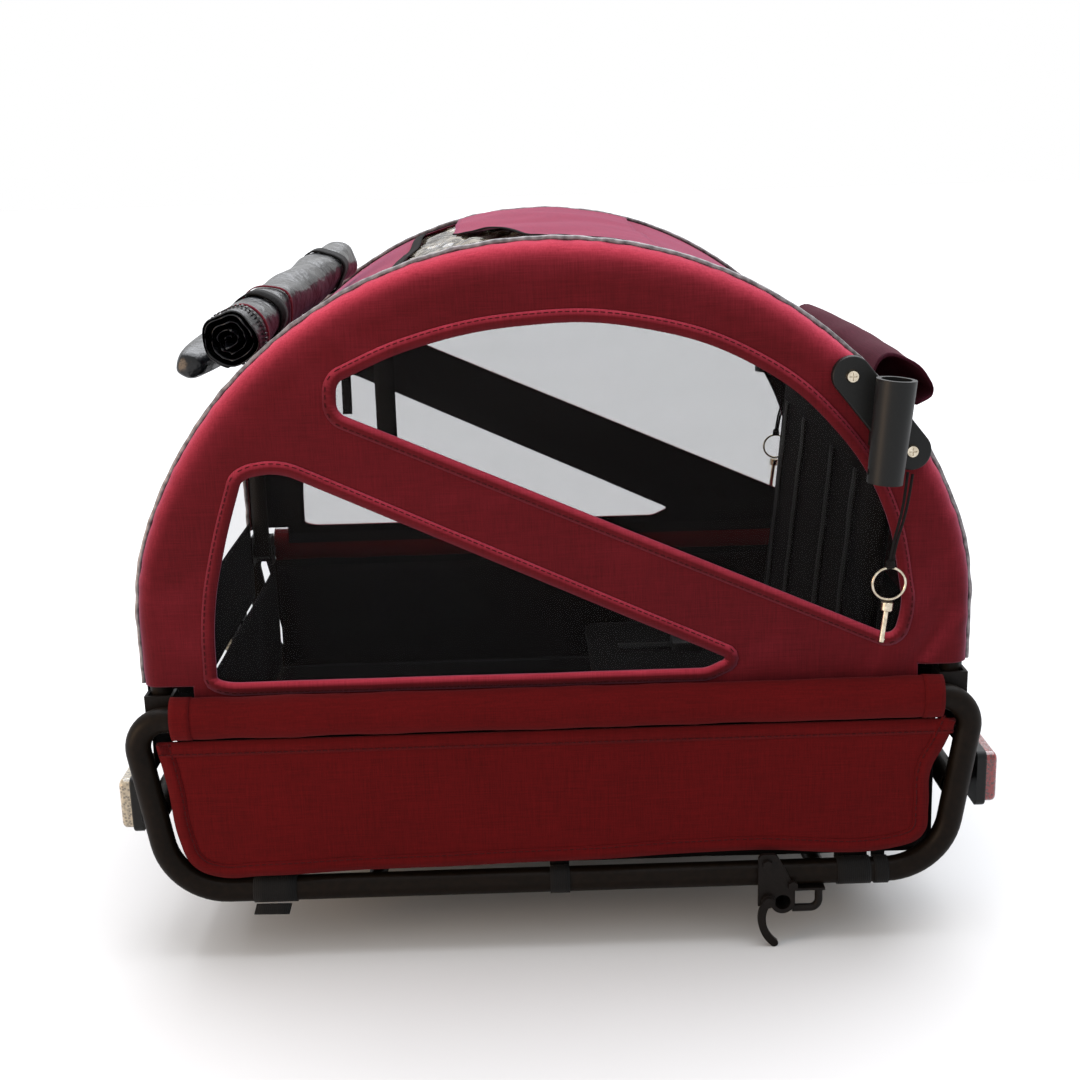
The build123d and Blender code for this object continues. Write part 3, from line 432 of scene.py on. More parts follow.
def over_arch(run):
    """Point and outward direction at a run along the arch from its top, positive to the rear."""
    side = 1 if run >= 0 else -1
    run = abs(run)
    if run <= crown_run:
        turn = math.pi / 2 - run / crown_r
        centre, reach = Vector((0, 0, crown_z)), crown_r
    elif run <= crown_run + shoulder_run:
        turn = join - (run - crown_run) / shoulder_r
        centre, reach = Vector((shoulder_x, 0, shoulder_z)), shoulder_r
    else:
        turn = 0
        drop = run - crown_run - shoulder_run
        centre, reach = Vector((shoulder_x, 0, shoulder_z - drop)), shoulder_r
    out = Vector((math.cos(turn), 0, math.sin(turn)))
    point = centre + reach * out
    return Vector((side * point.x, 0, point.z)), Vector((side * out.x, 0, out.z))


def arch_reading(x, z):
    """Run along the arch and distance inside it of a point in side view."""
    side = 1 if x >= 0 else -1
    if z <= shoulder_z:
        return side * (crown_run + shoulder_run + shoulder_z - z), arch_half - abs(x)
    turn = math.atan2(z - crown_z, abs(x))
    if turn >= join:
        return side * crown_r * (math.pi / 2 - turn), crown_r - math.hypot(x, z - crown_z)
    turn = math.atan2(z - shoulder_z, abs(x) - shoulder_x)
    return (side * (crown_run + shoulder_r * (join - turn)),
            shoulder_r - math.hypot(abs(x) - shoulder_x, z - shoulder_z))


def waves(x, y, z, size, seed=0.0):
    """Smooth random waves, between about -1 and 1, of a given size in metres."""
    return noise.noise(Vector((x, y, z)) / size + Vector((seed, 2 * seed, 3 * seed))) * 1.6


print("arch top at", round(over_arch(0)[0].z, 4), "join at", round(math.degrees(join), 2))

# %% [markdown]
# Flat pieces with a curved outline are cut like cloth with shears. A Bezier line is drawn round the
# piece, with smooth bends and true corners, and its corners are rounded with a vertex bevel. A
# slab of small squares is then cut to that outline with the Boolean modifier. The squares stay in
# the middle of the piece, so the cloth can be waved afterwards.
# %% Cutting tools
def as_mesh(name, form, smooth=True):
    """Turns a bmesh into a mesh."""
    mesh = bpy.data.meshes.new(name)
    form.to_mesh(mesh)
    form.free()
    if smooth:
        mesh.shade_smooth()
    return mesh


def add_piece(name, form, body, slot, *finishes, smooth=True):
    """Makes a bmesh a piece of the scene."""
    return enlist(name, as_mesh(name, form, smooth), body, slot, *finishes)


def verts_in(items):
    """The vertices among an operator's results."""
    return [item for item in items if isinstance(item, bmesh.types.BMVert)]


def edges_in(items):
    """The edges among an operator's results."""
    return [item for item in items if isinstance(item, bmesh.types.BMEdge)]


def pull_rim(form, rim, way):
    """Extrudes a ring of edges, moves the new ring and returns its edges."""
    pulled = bmesh.ops.extrude_edge_only(form, edges=rim)["geom"]
    bmesh.ops.translate(form, vec=way, verts=verts_in(pulled))
    return edges_in(pulled)


def smooth_line(points, closed=False):
    """Vertices of a Bezier line through points in side view; a third value marks a corner."""
    curve = bpy.data.curves.new("line", "CURVE")
    curve.dimensions = "3D"
    spline = curve.splines.new("BEZIER")
    spline.bezier_points.add(len(points) - 1)
    for knot, point in zip(spline.bezier_points, points):
        knot.co = (point[0] * mm, 0, point[1] * mm)
        kind = "VECTOR" if len(point) > 2 else "AUTO"
        knot.handle_left_type = kind
        knot.handle_right_type = kind
    spline.use_cyclic_u = closed
    spline.resolution_u = 10
    holder = bpy.data.objects.new("line", curve)
    mesh = bpy.data.meshes.new_from_object(holder)
    bpy.data.objects.remove(holder)
    return mesh


def outline_face(points):
    """A face with rounded corners in side view. A point's third value is its corner's radius."""
    spacing = 8 * mm
    form = bmesh.new()
    form.from_mesh(smooth_line(points, closed=True))
    bmesh.ops.contextual_create(form, geom=form.edges)
    for corner in [p for p in points if len(p) > 2 and p[2] > 0]:
        at = Vector((corner[0] * mm, 0, corner[1] * mm))
        nearest = min(form.verts, key=lambda vert: (vert.co - at).length)
        bmesh.ops.bevel(form, geom=[nearest], offset=corner[2] * mm, offset_type="OFFSET",
                        affect="VERTICES", segments=6, profile=0.5, material=-1)
    for edge in [edge for edge in form.edges if edge.calc_length() > 1.5 * spacing]:
        cuts = int(edge.calc_length() / spacing)
        bmesh.ops.subdivide_edges(form, edges=[edge], cuts=cuts)
    return form


def prism(form, near_y, far_y):
    """Pulls a face in side view into a block between two depths."""
    bmesh.ops.translate(form, vec=(0, near_y, 0), verts=form.verts)
    pulled = bmesh.ops.extrude_face_region(form, geom=form.faces[:])
    bmesh.ops.translate(form, vec=(0, far_y - near_y, 0), verts=verts_in(pulled["geom"]))
    bmesh.ops.recalc_face_normals(form, faces=form.faces)
    return form


def side_slab(low, high, outer_y, thick, step):
    """A closed slab of small squares in side view, its outer face at outer_y."""
    form = bmesh.new()
    wide, tall = high[0] - low[0], high[1] - low[1]
    upright = Matrix.Rotation(math.pi / 2, 4, "X") @ Matrix.Diagonal((wide, tall, 1, 1))
    place = Matrix.Translation(((low[0] + high[0]) / 2, outer_y, (low[1] + high[1]) / 2))
    bmesh.ops.create_grid(form, x_segments=round(wide / step), y_segments=round(tall / step),
                          size=0.5, matrix=place @ upright)
    bmesh.ops.solidify(form, geom=form.faces[:], thickness=thick)
    back = min(vert.co.y for vert in form.verts)
    bmesh.ops.translate(form, vec=(0, outer_y - back, 0), verts=form.verts)
    bmesh.ops.recalc_face_normals(form, faces=form.faces)
    return form


def cut(form, *tools):
    """Cuts a bmesh with others, given as (operation, bmesh), and returns the rest as a bmesh."""
    body = bpy.data.objects.new("cut", as_mesh("cut", form, smooth=False))
    bpy.context.scene.collection.objects.link(body)
    helpers = []
    for operation, tool in tools:
        helper = bpy.data.objects.new("tool", as_mesh("tool", tool, smooth=False))
        bpy.context.scene.collection.objects.link(helper)
        modifier = body.modifiers.new("cut", "BOOLEAN")
        modifier.operation = operation
        modifier.solver = "EXACT"
        modifier.object = helper
        helpers.append(helper)
    result = bmesh.new()
    result.from_object(body, bpy.context.evaluated_depsgraph_get())
    for helper in [body, *helpers]:
        bpy.data.objects.remove(helper)
    return result


def right_twin(piece, name, body):
    """The same piece on the trailer's right side."""
    form = bmesh.new()
    form.from_mesh(piece.data)
    bmesh.ops.scale(form, vec=(1, -1, 1), verts=form.verts)
    bmesh.ops.reverse_faces(form, faces=form.faces)
    twin = add_piece(name, form, body, piece["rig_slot"], *piece.data.materials)
    for face, pattern in zip(twin.data.polygons, piece.data.polygons):
        face.material_index = pattern.material_index
    return twin


def arch_outline(inset, foot_z, corner_drop=0.0, corner_in=0.0):
    """A face in side view that fills the arch down to its feet."""
    form = bmesh.new()
    start = form.verts.new((arch_half - inset, 0, foot_z + corner_drop))
    leg = bmesh.ops.extrude_vert_indiv(form, verts=[start])["verts"]
    bmesh.ops.translate(form, vec=(0, 0, shoulder_z - start.co.z), verts=leg)
    tip = leg
    arcs = ((shoulder_x, shoulder_z, join, 8), (0, crown_z, math.pi - 2 * join, 96),
            (-shoulder_x, shoulder_z, join, 8))
    for x, z, turn, steps in arcs:
        made = bmesh.ops.spin(form, geom=tip, cent=(x, 0, z), axis=(0, -1, 0), angle=turn,
                              steps=steps)
        tip = verts_in(made["geom_last"])
    leg = bmesh.ops.extrude_vert_indiv(form, verts=tip)["verts"]
    bmesh.ops.translate(form, vec=(0, 0, foot_z + corner_drop - shoulder_z), verts=leg)
    loose = [leg[0], start]
    if corner_in:
        for end in (0, 1):
            step = bmesh.ops.extrude_vert_indiv(form, verts=[loose[end]])["verts"]
            bmesh.ops.translate(form, vec=((1, -1)[end] * corner_in, 0, 0), verts=step)
            drop = bmesh.ops.extrude_vert_indiv(form, verts=step)["verts"]
            bmesh.ops.translate(form, vec=(0, 0, -corner_drop), verts=drop)
            loose[end] = drop[0]
    form.edges.new(loose)
    bmesh.ops.contextual_create(form, geom=form.edges)
    return form


print("cutting tools ready")

# %% [markdown]
# The side panel is one sheet of red cloth with a black lining, sewn over the hoop. It bends round
# the tube near its edge, so the edge faces the sky; its brighter top band is painted sky light in
# the cloth's colour. Two windows are cut out, and the cloth round them is folded over and stitched.
# The panel is cut flat and 24 mm too wide; that rim is bent a quarter turn round the hoop, so its
# edge lies on top of the tube. It is puckered along the seam and waved a little in the middle.
# %% Side panels
panel_y = -325.5 * mm
cloth_thick = 2.5 * mm
hoop_inset, rim_r = 16.5 * mm, 15.5 * mm
rim_wrap = rim_r * math.pi / 2
cut_depths = -0.34, -0.31
hem_thick, stitch_pitch = 0.9 * mm, 6.5 * mm
upper_window = [(-202, 588, 9), (-130, 617), (-20, 637), (85, 632), (196, 593), (272, 531),
                (322, 452), (345, 352, 18), (336, 318, 12), (-203, 559, 9)]
lower_window = [(-338, 290, 24), (-335, 360), (-321, 426), (-298, 498, 14), (-262, 503, 14),
                (172, 300, 6), (150, 290, 5)]


def settle_side(vert):
    """Bends one vertex of a left side panel, or of its hems, round the hoop, and waves it."""
    x, z = vert.co.x, vert.co.z
    run, inset = arch_reading(x, z)
    depth = max(inset + rim_wrap - hoop_inset, 0)
    pucker = 0.9 * mm * waves(run, 0, 0, 15 * mm) * math.exp(-depth / (12 * mm))
    wave = 1.1 * mm * waves(x, 0, z, 120 * mm, 3)
    fine = 0.35 * mm * waves(x, 0, z, 34 * mm, 17)
    pleat = 0.0
    corner = math.hypot(x - 0.375, z - 0.30) / 0.12
    if corner < 1:
        pleat = 2.4 * mm * (1 - corner) ** 2 * math.sin((x - 0.6 * z) / (9 * mm))
    off = max(pucker, -0.6 * mm) - max(wave + fine + pleat, -1.2 * mm) * min(depth / (30 * mm), 1)
    past = hoop_inset - inset
    if past <= 0:
        vert.co.y -= off
        return
    turn = min(past / rim_r, math.pi / 2 + 0.1)
    reach = -hoop_y - vert.co.y + off
    point, out = over_arch(run)
    spot = point - out * (hoop_inset - reach * math.sin(turn))
    vert.co = Vector((spot.x, -hoop_y - reach * math.cos(turn), spot.z))


panel_outline = arch_outline(hoop_inset - rim_wrap, 265 * mm, 23 * mm, 60 * mm)
panel_form = cut(side_slab((-0.43, 0.26), (0.43, 0.732), panel_y, cloth_thick, 5 * mm),
                 ("INTERSECT", prism(panel_outline, *cut_depths)),
                 ("DIFFERENCE", prism(outline_face(upper_window), *cut_depths)),
                 ("DIFFERENCE", prism(outline_face(lower_window), *cut_depths)))
for face in panel_form.faces:
    face.material_index = 1 if face.normal.y > 0.5 else 0
for vert in panel_form.verts:
    settle_side(vert)
left_panel = add_piece("left_side_cloth", panel_form, "left_dome", "red_cloth", side_cloth, lining)
right_panel = right_twin(left_panel, "right_side_cloth", "right_dome")
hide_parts("left_side_panel")
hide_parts("right_side_panel")

# %% [markdown]
# Round each window the cloth is doubled over 13 mm and sewn down 2.5 mm from the fold's end. The
# fold is a ring: the window's outline is extruded, moved outwards and made 0.9 mm thick. The
# stitches are tiny bars 4.5 mm long, one every 6.5 mm along the same outline.
# %% Window hems and stitches
def hem_ring(points, width, face_y, thick):
    """A flat ring round an outline; a negative width goes inside it."""
    form = outline_face(points)
    form.normal_update()
    middle = form.faces[:][0]
    shifts = []
    for loop in middle.loops:
        before = (loop.vert.co - loop.link_loop_prev.vert.co).normalized()
        after = (loop.link_loop_next.vert.co - loop.vert.co).normalized()
        out = (before + after).normalized().cross(middle.normal)
        shifts.append((loop.vert.co.copy(), out / max(out.dot(after.cross(middle.normal)), 0.5)))
    pulled = bmesh.ops.extrude_edge_only(form, edges=list(middle.edges))["geom"]
    for vert in verts_in(pulled):
        vert.co += width * min(shifts, key=lambda pair: (pair[0] - vert.co).length)[1]
    bmesh.ops.delete(form, geom=[middle], context="FACES_ONLY")
    pulled = bmesh.ops.extrude_face_region(form, geom=form.faces[:])
    bmesh.ops.translate(form, vec=(0, -thick, 0), verts=verts_in(pulled["geom"]))
    bmesh.ops.translate(form, vec=(0, face_y, 0), verts=form.verts)
    bmesh.ops.recalc_face_normals(form, faces=form.faces)
    return form


def sewn_line(line, pitch, out):
    """Points and directions at even steps along a closed line of vertices, moved out of it."""
    carried = 0.0
    for here, there in zip(line, line[1:] + line[:1]):
        run = there - here
        length = run.length
        if length < 1e-7:
            continue
        ahead = run / length
        outward = Vector((ahead.z, 0, -ahead.x))
        while carried < length:
            yield here + ahead * carried + outward * out, ahead
            carried += pitch
        carried -= length


def stitches(form, spots, face_y):
    """Small bars of thread along a seam in side view."""
    for spot, ahead in spots:
        turn = Matrix.Rotation(math.atan2(-ahead.z, ahead.x), 4, "Y")
        place = Matrix.Translation((spot.x, face_y, spot.z)) @ turn
        size = Matrix.Diagonal((4.5 * mm, 0.9 * mm, 0.9 * mm, 1))
        bmesh.ops.create_cube(form, size=1, matrix=place @ size)


def face_line(points):
    """The outline's vertices in order, always the same way round."""
    form = outline_face(points)
    line = [vert.co.copy() for vert in form.faces[:][0].verts]
    turning = sum(a.x * b.z - b.x * a.z for a, b in zip(line, line[1:] + line[:1]))
    form.free()
    return line if turning > 0 else line[::-1]


hem_form = bmesh.new()
thread_form = bmesh.new()
for window in (upper_window, lower_window):
    hem_form.from_mesh(as_mesh("ring", hem_ring(window, 13 * mm, panel_y, hem_thick)))
    seam = sewn_line(face_line(window), stitch_pitch, 10.5 * mm)
    stitches(thread_form, seam, panel_y - hem_thick)
for form in (hem_form, thread_form):
    for vert in form.verts:
        settle_side(vert)
left_hem = add_piece("left_window_hems", hem_form, "left_dome", "red_cloth", side_cloth)
left_thread = add_piece("left_window_stitches", thread_form, "left_dome", "red_cloth", thread,
                        smooth=False)
right_hem = right_twin(left_hem, "right_window_hems", "right_dome")
right_thread = right_twin(left_thread, "right_window_stitches", "right_dome")
print("stitches", len(left_thread.data.polygons) // 6, "a side")

# %% [markdown]
# The piping is a thin cord sewn into a grey reflective tape along the panel's edge. A small ring
# of vertices is pulled up the rear leg, spun round the three arcs and pulled down the front leg.
# Its flat flange disappears between the panel and the roof.
# %% Piping
piping_form = bmesh.new()
piping_foot_z = 288 * mm
rear_foot = Matrix.Translation((arch_half + 0.6 * mm, -hoop_y, piping_foot_z))
bmesh.ops.create_circle(piping_form, segments=12, radius=2.4 * mm, matrix=rear_foot)
rim = piping_form.edges[:]
leg_step = (shoulder_z - piping_foot_z) / 12
for index in range(12):
    rim = pull_rim(piping_form, rim, (0, 0, leg_step))
for x, z, turn, steps in ((shoulder_x, shoulder_z, join, 16), (0, crown_z, math.pi - 2 * join, 180),
                          (-shoulder_x, shoulder_z, join, 16)):
    rim_verts = list({vert for edge in rim for vert in edge.verts})
    made = bmesh.ops.spin(piping_form, geom=rim_verts + rim, cent=(x, 0, z), axis=(0, -1, 0),
                          angle=turn, steps=steps)
    rim = edges_in(made["geom_last"])
for index in range(12):
    rim = pull_rim(piping_form, rim, (0, 0, -leg_step))
bmesh.ops.remove_doubles(piping_form, verts=piping_form.verts, dist=1e-6)
bmesh.ops.holes_fill(piping_form, edges=piping_form.edges, sides=16)
bmesh.ops.recalc_face_normals(piping_form, faces=piping_form.faces)
for vert in piping_form.verts:
    run, inset = arch_reading(vert.co.x, vert.co.z)
    vert.co.y += 0.9 * mm * waves(run, 0, 0, 24 * mm, 5)
    vert.co += over_arch(run)[1] * 0.8 * mm * waves(run, 0, 0, 19 * mm, 9)
left_piping = add_piece("left_edge_piping", piping_form, "left_dome", "reflective_piping", piping)
right_piping = right_twin(left_piping, "right_edge_piping", "right_dome")
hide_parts("left_piping")
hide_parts("right_piping")
print("piping", len(left_piping.data.polygons), "faces a side")

# %% [markdown]
# One clear sheet backs both windows of a side. It is cut 34 mm inside the arch and hangs nearly
# flat behind the cloth, with slow ripples that bend the light.
# %% Window films
film_form = cut(side_slab((-0.40, 0.27), (0.40, 0.70), -322.85 * mm, 0.8 * mm, 12 * mm),
                ("INTERSECT", prism(arch_outline(34 * mm, 280 * mm), *cut_depths)))
for vert in film_form.verts:
    vert.co.y += 0.5 * mm + 0.4 * mm * waves(vert.co.x, 0, vert.co.z, 90 * mm, 2)
left_film = add_piece("left_window_film", film_form, "left_dome", "clear_film", window_film)
right_film = right_twin(left_film, "right_window_film", "right_dome")
for hand, film in (("left", left_film), ("right", right_film)):
    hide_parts(hand + "_windows")

# %% [markdown]
# The roof, the rear panel and the sun flap are cut flat and bent over the hoops. A grid is the flat
# cut; every vertex is then moved to its run along the arch. Between the hoops the cloth hangs down
# a little, and it is pulled into shallow waves where the seams hold it.
# %% Sheets over the hoops
def flat_grid(run_from, run_to, half_width, step):
    """A flat sheet: X is the run along the arch, Y the way across."""
    form = bmesh.new()
    long, wide = run_to - run_from, 2 * half_width
    middle = Matrix.Translation(((run_from + run_to) / 2, 0, 0))
    place = middle @ Matrix.Diagonal((long, wide, 1, 1))
    bmesh.ops.create_grid(form, x_segments=round(long / step), y_segments=round(wide / step),
                          size=0.5, matrix=place)
    return form


def open_in_sheet(form, run_from, run_to, half_width):
    """Cuts a rectangle out of a flat sheet."""
    for spot, way in (((run_from, 0, 0), (1, 0, 0)), ((run_to, 0, 0), (1, 0, 0)),
                      ((0, half_width, 0), (0, 1, 0)), ((0, -half_width, 0), (0, 1, 0))):
        geometry = form.verts[:] + form.edges[:] + form.faces[:]
        bmesh.ops.bisect_plane(form, geom=geometry, dist=1e-6, plane_co=spot, plane_no=way)
    inside = [face for face in form.faces
              if run_from < face.calc_center_median().x < run_to
              and abs(face.calc_center_median().y) < half_width]
    bmesh.ops.delete(form, geom=inside, context="FACES")


def bend_over(form, lift, sag, ripple, size, seed, thick):
    """Bends a flat sheet over the arch and gives it a thickness."""
    for vert in form.verts:
        run, across = vert.co.x, vert.co.y
        point, out = over_arch(run)
        share = min(abs(across) / hoop_y, 1)
        hang = sag * (1 - share**2)
        height = lift - hang + ripple * waves(run, across, 0, size, seed) * (1 - 0.7 * share**4)
        vert.co = point + out * height + Vector((0, across, 0))
    bmesh.ops.solidify(form, geom=form.faces[:], thickness=thick)
    bmesh.ops.recalc_face_normals(form, faces=form.faces)


def run_at(degrees):
    """Run along the crown at an angle about its centre, counted from the rear."""
    return crown_r * math.radians(90 - degrees)


roof_runs = (run_at(133), run_at(22))
sky_runs = (run_at(111), run_at(78))
roof_half_width = 307 * mm
roof_form = flat_grid(*roof_runs, roof_half_width, 8 * mm)
open_in_sheet(roof_form, *sky_runs, 285 * mm)
bend_over(roof_form, lift=-1.6 * mm, sag=5 * mm, ripple=3.4 * mm, size=150 * mm, seed=4,
          thick=1.8 * mm)
roof = add_piece("roof_cloth", roof_form, "base", "red_cloth", roof_cloth)
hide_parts("roof_cover")
rear_form = flat_grid(run_at(20.42), crown_run + shoulder_run + 66 * mm, roof_half_width, 8 * mm)
bend_over(rear_form, lift=-1.6 * mm, sag=4 * mm, ripple=2.0 * mm, size=110 * mm, seed=6,
          thick=1.8 * mm)
rear = add_piece("rear_cloth", rear_form, "base", "red_cloth", rear_cloth)
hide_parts("rear_panel")
print("roof", len(roof.data.polygons), "faces, rear", len(rear.data.polygons))

# %% [markdown]
# The skylight is clear vinyl sewn under the opening, and old vinyl keeps its creases, so it gets
# strong small waves. The sun flap is a loose sheet of roof cloth that covers most of it. Its front
# edge is bound in black and folded back slantwise, which leaves the near part of the vinyl open.
# The slant is one bisecting plane. A black binding runs round the opening.
# %% Skylight, binding and sun flap
sky_form = flat_grid(sky_runs[0] - 8 * mm, sky_runs[1] + 8 * mm, 293 * mm, 6 * mm)
bend_over(sky_form, lift=-4.4 * mm, sag=5 * mm, ripple=4 * mm, size=30 * mm, seed=11,
          thick=0.8 * mm)
skylight = add_piece("skylight_vinyl", sky_form, "base", "clear_film", sky_film)
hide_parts("skylight_film")
binding_form = flat_grid(sky_runs[0] - 7 * mm, sky_runs[1] + 7 * mm, 292 * mm, 8 * mm)
open_in_sheet(binding_form, sky_runs[0] + 6 * mm, sky_runs[1] - 6 * mm, 280 * mm)
bend_over(binding_form, lift=0.4 * mm, sag=5 * mm, ripple=3.4 * mm, size=150 * mm, seed=4,
          thick=1.2 * mm)
binding = add_piece("skylight_binding", binding_form, "base", "black_cloth", lining)
shade_runs = (run_at(104), run_at(74))
shade_form = flat_grid(*shade_runs, 300 * mm, 8 * mm)
slant = Vector((-360, -124, 0)).normalized()
slant_spot = Vector((20 * mm, -300 * mm, 0))
bound_edge = 3.5 * mm
for back_off, drop in ((0, True), (bound_edge, False)):
    spot = slant_spot - slant * back_off
    geometry = shade_form.verts[:] + shade_form.edges[:] + shade_form.faces[:]
    bmesh.ops.bisect_plane(shade_form, geom=geometry, dist=1e-6, plane_co=spot, plane_no=slant,
                           clear_outer=drop)
for face in shade_form.faces:
    middle = face.calc_center_median()
    edge_gap = (slant_spot - middle).dot(slant)
    face.material_index = 1 if edge_gap < bound_edge or middle.y < -296 * mm else 0
for vert in shade_form.verts:
    run, across = vert.co.x, vert.co.y
    edge_gap = (slant_spot - vert.co).dot(slant)
    rise = 1.2 * mm * max(0, 1 - edge_gap / (30 * mm)) ** 2
    point, out = over_arch(run)
    share = min(abs(across) / hoop_y, 1)
    hang = 5 * mm * (1 - share**2)
    wave = 3.4 * mm * waves(run, across, 0, 150 * mm, 4) * (1 - 0.7 * share**4)
    fine = 0.8 * mm * waves(run, across, 0, 50 * mm, 13)
    vert.co = point + out * (2.4 * mm + rise - hang + wave + fine) + Vector((0, across, 0))
bmesh.ops.solidify(shade_form, geom=shade_form.faces[:], thickness=1.6 * mm)
bmesh.ops.recalc_face_normals(shade_form, faces=shade_form.faces)
shade = add_piece("sun_flap", shade_form, "base", "red_cloth", roof_cloth, lining_across)
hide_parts("shade_flap")
print("sun flap", len(shade.data.polygons), "faces")

# %% [markdown]
# The rear flap covers the way into the luggage space. It leaves the roof's rear edge nearly level
# and turns down at its free end, whose corners are round. A smooth line gives its side view; a flat
# grid is laid along that line.
# %% Rear flap
def along(line, share):
    """Point at a share of a smooth line's length, and the direction across it."""
    spots = [vert.co for vert in line.vertices]
    lengths = [(b - a).length for a, b in zip(spots, spots[1:])]
    target = share * sum(lengths)
    for a, b, length in zip(spots, spots[1:], lengths):
        if target <= length or b is spots[-1]:
            ahead = (b - a).normalized()
            return a + ahead * target, Vector((-ahead.z, 0, ahead.x))
        target -= length
    return spots[-1].copy(), Vector((0, 0, 1))


flap_line = smooth_line([(327, 566), (339, 587), (362, 586), (386, 566), (395, 546), (377, 533)])
spots = flap_line.vertices
flap_length = sum((spots[edge.vertices[0]].co - spots[edge.vertices[1]].co).length
                  for edge in flap_line.edges)
flap_half_width = 238 * mm
flap_form = flat_grid(0, flap_length, flap_half_width, 6 * mm)
free_end = [v for v in flap_form.verts if len(v.link_edges) == 2 and v.co.x > 0.5 * flap_length]
bmesh.ops.bevel(flap_form, geom=free_end, offset=30 * mm, offset_type="OFFSET", affect="VERTICES",
                segments=8, profile=0.5, material=-1)
for vert in flap_form.verts:
    share, across = max(0, min(vert.co.x / flap_length, 1)), vert.co.y
    point, up = along(flap_line, share)
    droop = 5 * mm * (abs(across) / flap_half_width) ** 2 * share
    vert.co = (point - up * (droop + 1.5 * mm * waves(share / 3, across, 0, 80 * mm, 21))
               + Vector((0, across, 0)))
bmesh.ops.solidify(flap_form, geom=flap_form.faces[:], thickness=3 * mm)
bmesh.ops.recalc_face_normals(flap_form, faces=flap_form.faces)
rear_flap = add_piece("rear_flap_cloth", flap_form, "base", "red_cloth", flap_cloth)
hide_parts("rear_flap")
print("rear flap", round(flap_length, 3), "m long")

# %% [markdown]
# The front cover is rolled up and tied at the top of the opening. Rolled cloth shows a spiral at
# its end, so a flat sheet is wound on itself over four and a half times, each turn lying a few
# millimetres outside the last. It is creased, and crumpled where the end is pushed in.
# %% Rolled covers
roll_near, roll_far = Vector((-311, -264, 625)) * mm, Vector((-257, 226, 663)) * mm
roll_ahead = (roll_far - roll_near).normalized()
roll_out = roll_ahead.cross(Vector((0, 0, 1))).normalized()
roll_up = roll_out.cross(roll_ahead)


def roll_lump(turn, way):
    """How far the roll bulges at a turn of its winding and a distance along it, as a factor."""
    return 1 + 0.12 * waves(math.cos(turn) * 0.4, math.sin(turn) * 0.4, way / 0.16, 0.42, 31)


def rolled_sheet(length, turns, inner, outer_near, outer_far, step):
    """A sheet wound round the roll's axis. X is along the roll and Y the winding."""
    form = bmesh.new()
    winding = math.tau * turns
    place = Matrix.Translation((length / 2, 0.5, 0)) @ Matrix.Diagonal((length, 1, 1, 1))
    bmesh.ops.create_grid(form, x_segments=round(length / step), y_segments=round(winding * 6),
                          size=0.5, matrix=place)
    for vert in form.verts:
        way, share = vert.co.x, vert.co.y
        outer = outer_near + (outer_far - outer_near) * way / length
        turn = share * winding
        radius = (inner + (outer - 2 * mm - inner) * min(share / 0.75, 1)) * roll_lump(turn, way)
        radius += 2 * mm * max(share - 0.75, 0) / 0.25
        crumple = max(0, 1 - way / (25 * mm)) * max(0, 1 - share / 0.8)
        way += 14 * mm * crumple * waves(math.cos(turn) * radius, math.sin(turn) * radius, 0,
                                         9 * mm, 37)
        spot = roll_near + roll_ahead * way
        vert.co = spot + radius * (roll_out * math.cos(turn + 0.8) + roll_up * math.sin(turn + 0.8))
    bmesh.ops.solidify(form, geom=form.faces[:], thickness=1.3 * mm)
    bmesh.ops.recalc_face_normals(form, faces=form.faces)
    return form


roll_length = (roll_far - roll_near).length
roll_turns, mean_radius = 4.6, 16
cover_form = rolled_sheet(roll_length, roll_turns, 2 * mm, 28 * mm, 25 * mm, 6 * mm)
cover = add_piece("front_cover_rolled", cover_form, "base", "rolled_cover", cover_skin)
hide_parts("front_cover_roll")

# %% [markdown]
# Red bindings and the teeth of a zip run round the roll near its end, because the cover's own edges
# are rolled in with it. Each is a narrow band, a short line spun round the axis and then pulled
# into the roll's lumpy outline at a fixed clearance.
# %% Bindings, zip and ties
def band(form, way, width, thick, clearance):
    """A narrow band round the roll at a distance along it."""
    radius = 28 * mm - 3 * mm * way / roll_length + clearance
    to_axis = Matrix((roll_out, roll_up, roll_ahead)).transposed().to_4x4()
    place = Matrix.Translation(roll_near + roll_ahead * way) @ to_axis
    start = Matrix.Translation((radius, 0, 0)) @ Matrix.Rotation(math.pi / 2, 4, "X")
    section = Matrix.Diagonal((thick, width, 1, 1))
    made = bmesh.ops.create_grid(form, x_segments=1, y_segments=2, size=0.5, matrix=start @ section)
    geometry = made["verts"] + list({e for v in made["verts"] for e in v.link_edges})
    before = set(form.verts) - set(made["verts"])
    loose = list({f for v in made["verts"] for f in v.link_faces})
    bmesh.ops.delete(form, geom=loose, context="FACES_ONLY")
    rim = [e for e in edges_in(geometry) if e.is_valid and not e.is_manifold]
    outer = [e for e in rim if len(e.link_faces) == 0]
    bmesh.ops.spin(form, geom=made["verts"] + outer, cent=(0, 0, 0), axis=(0, 0, 1),
                   angle=math.tau, steps=48, use_merge=True)
    fresh = [v for v in form.verts if v not in before]
    for vert in fresh:
        turn = math.atan2(vert.co.y, vert.co.x)
        lump = roll_lump(turn - 0.8, way)
        vert.co.x *= lump
        vert.co.y *= lump
    bmesh.ops.transform(form, matrix=place, verts=fresh)


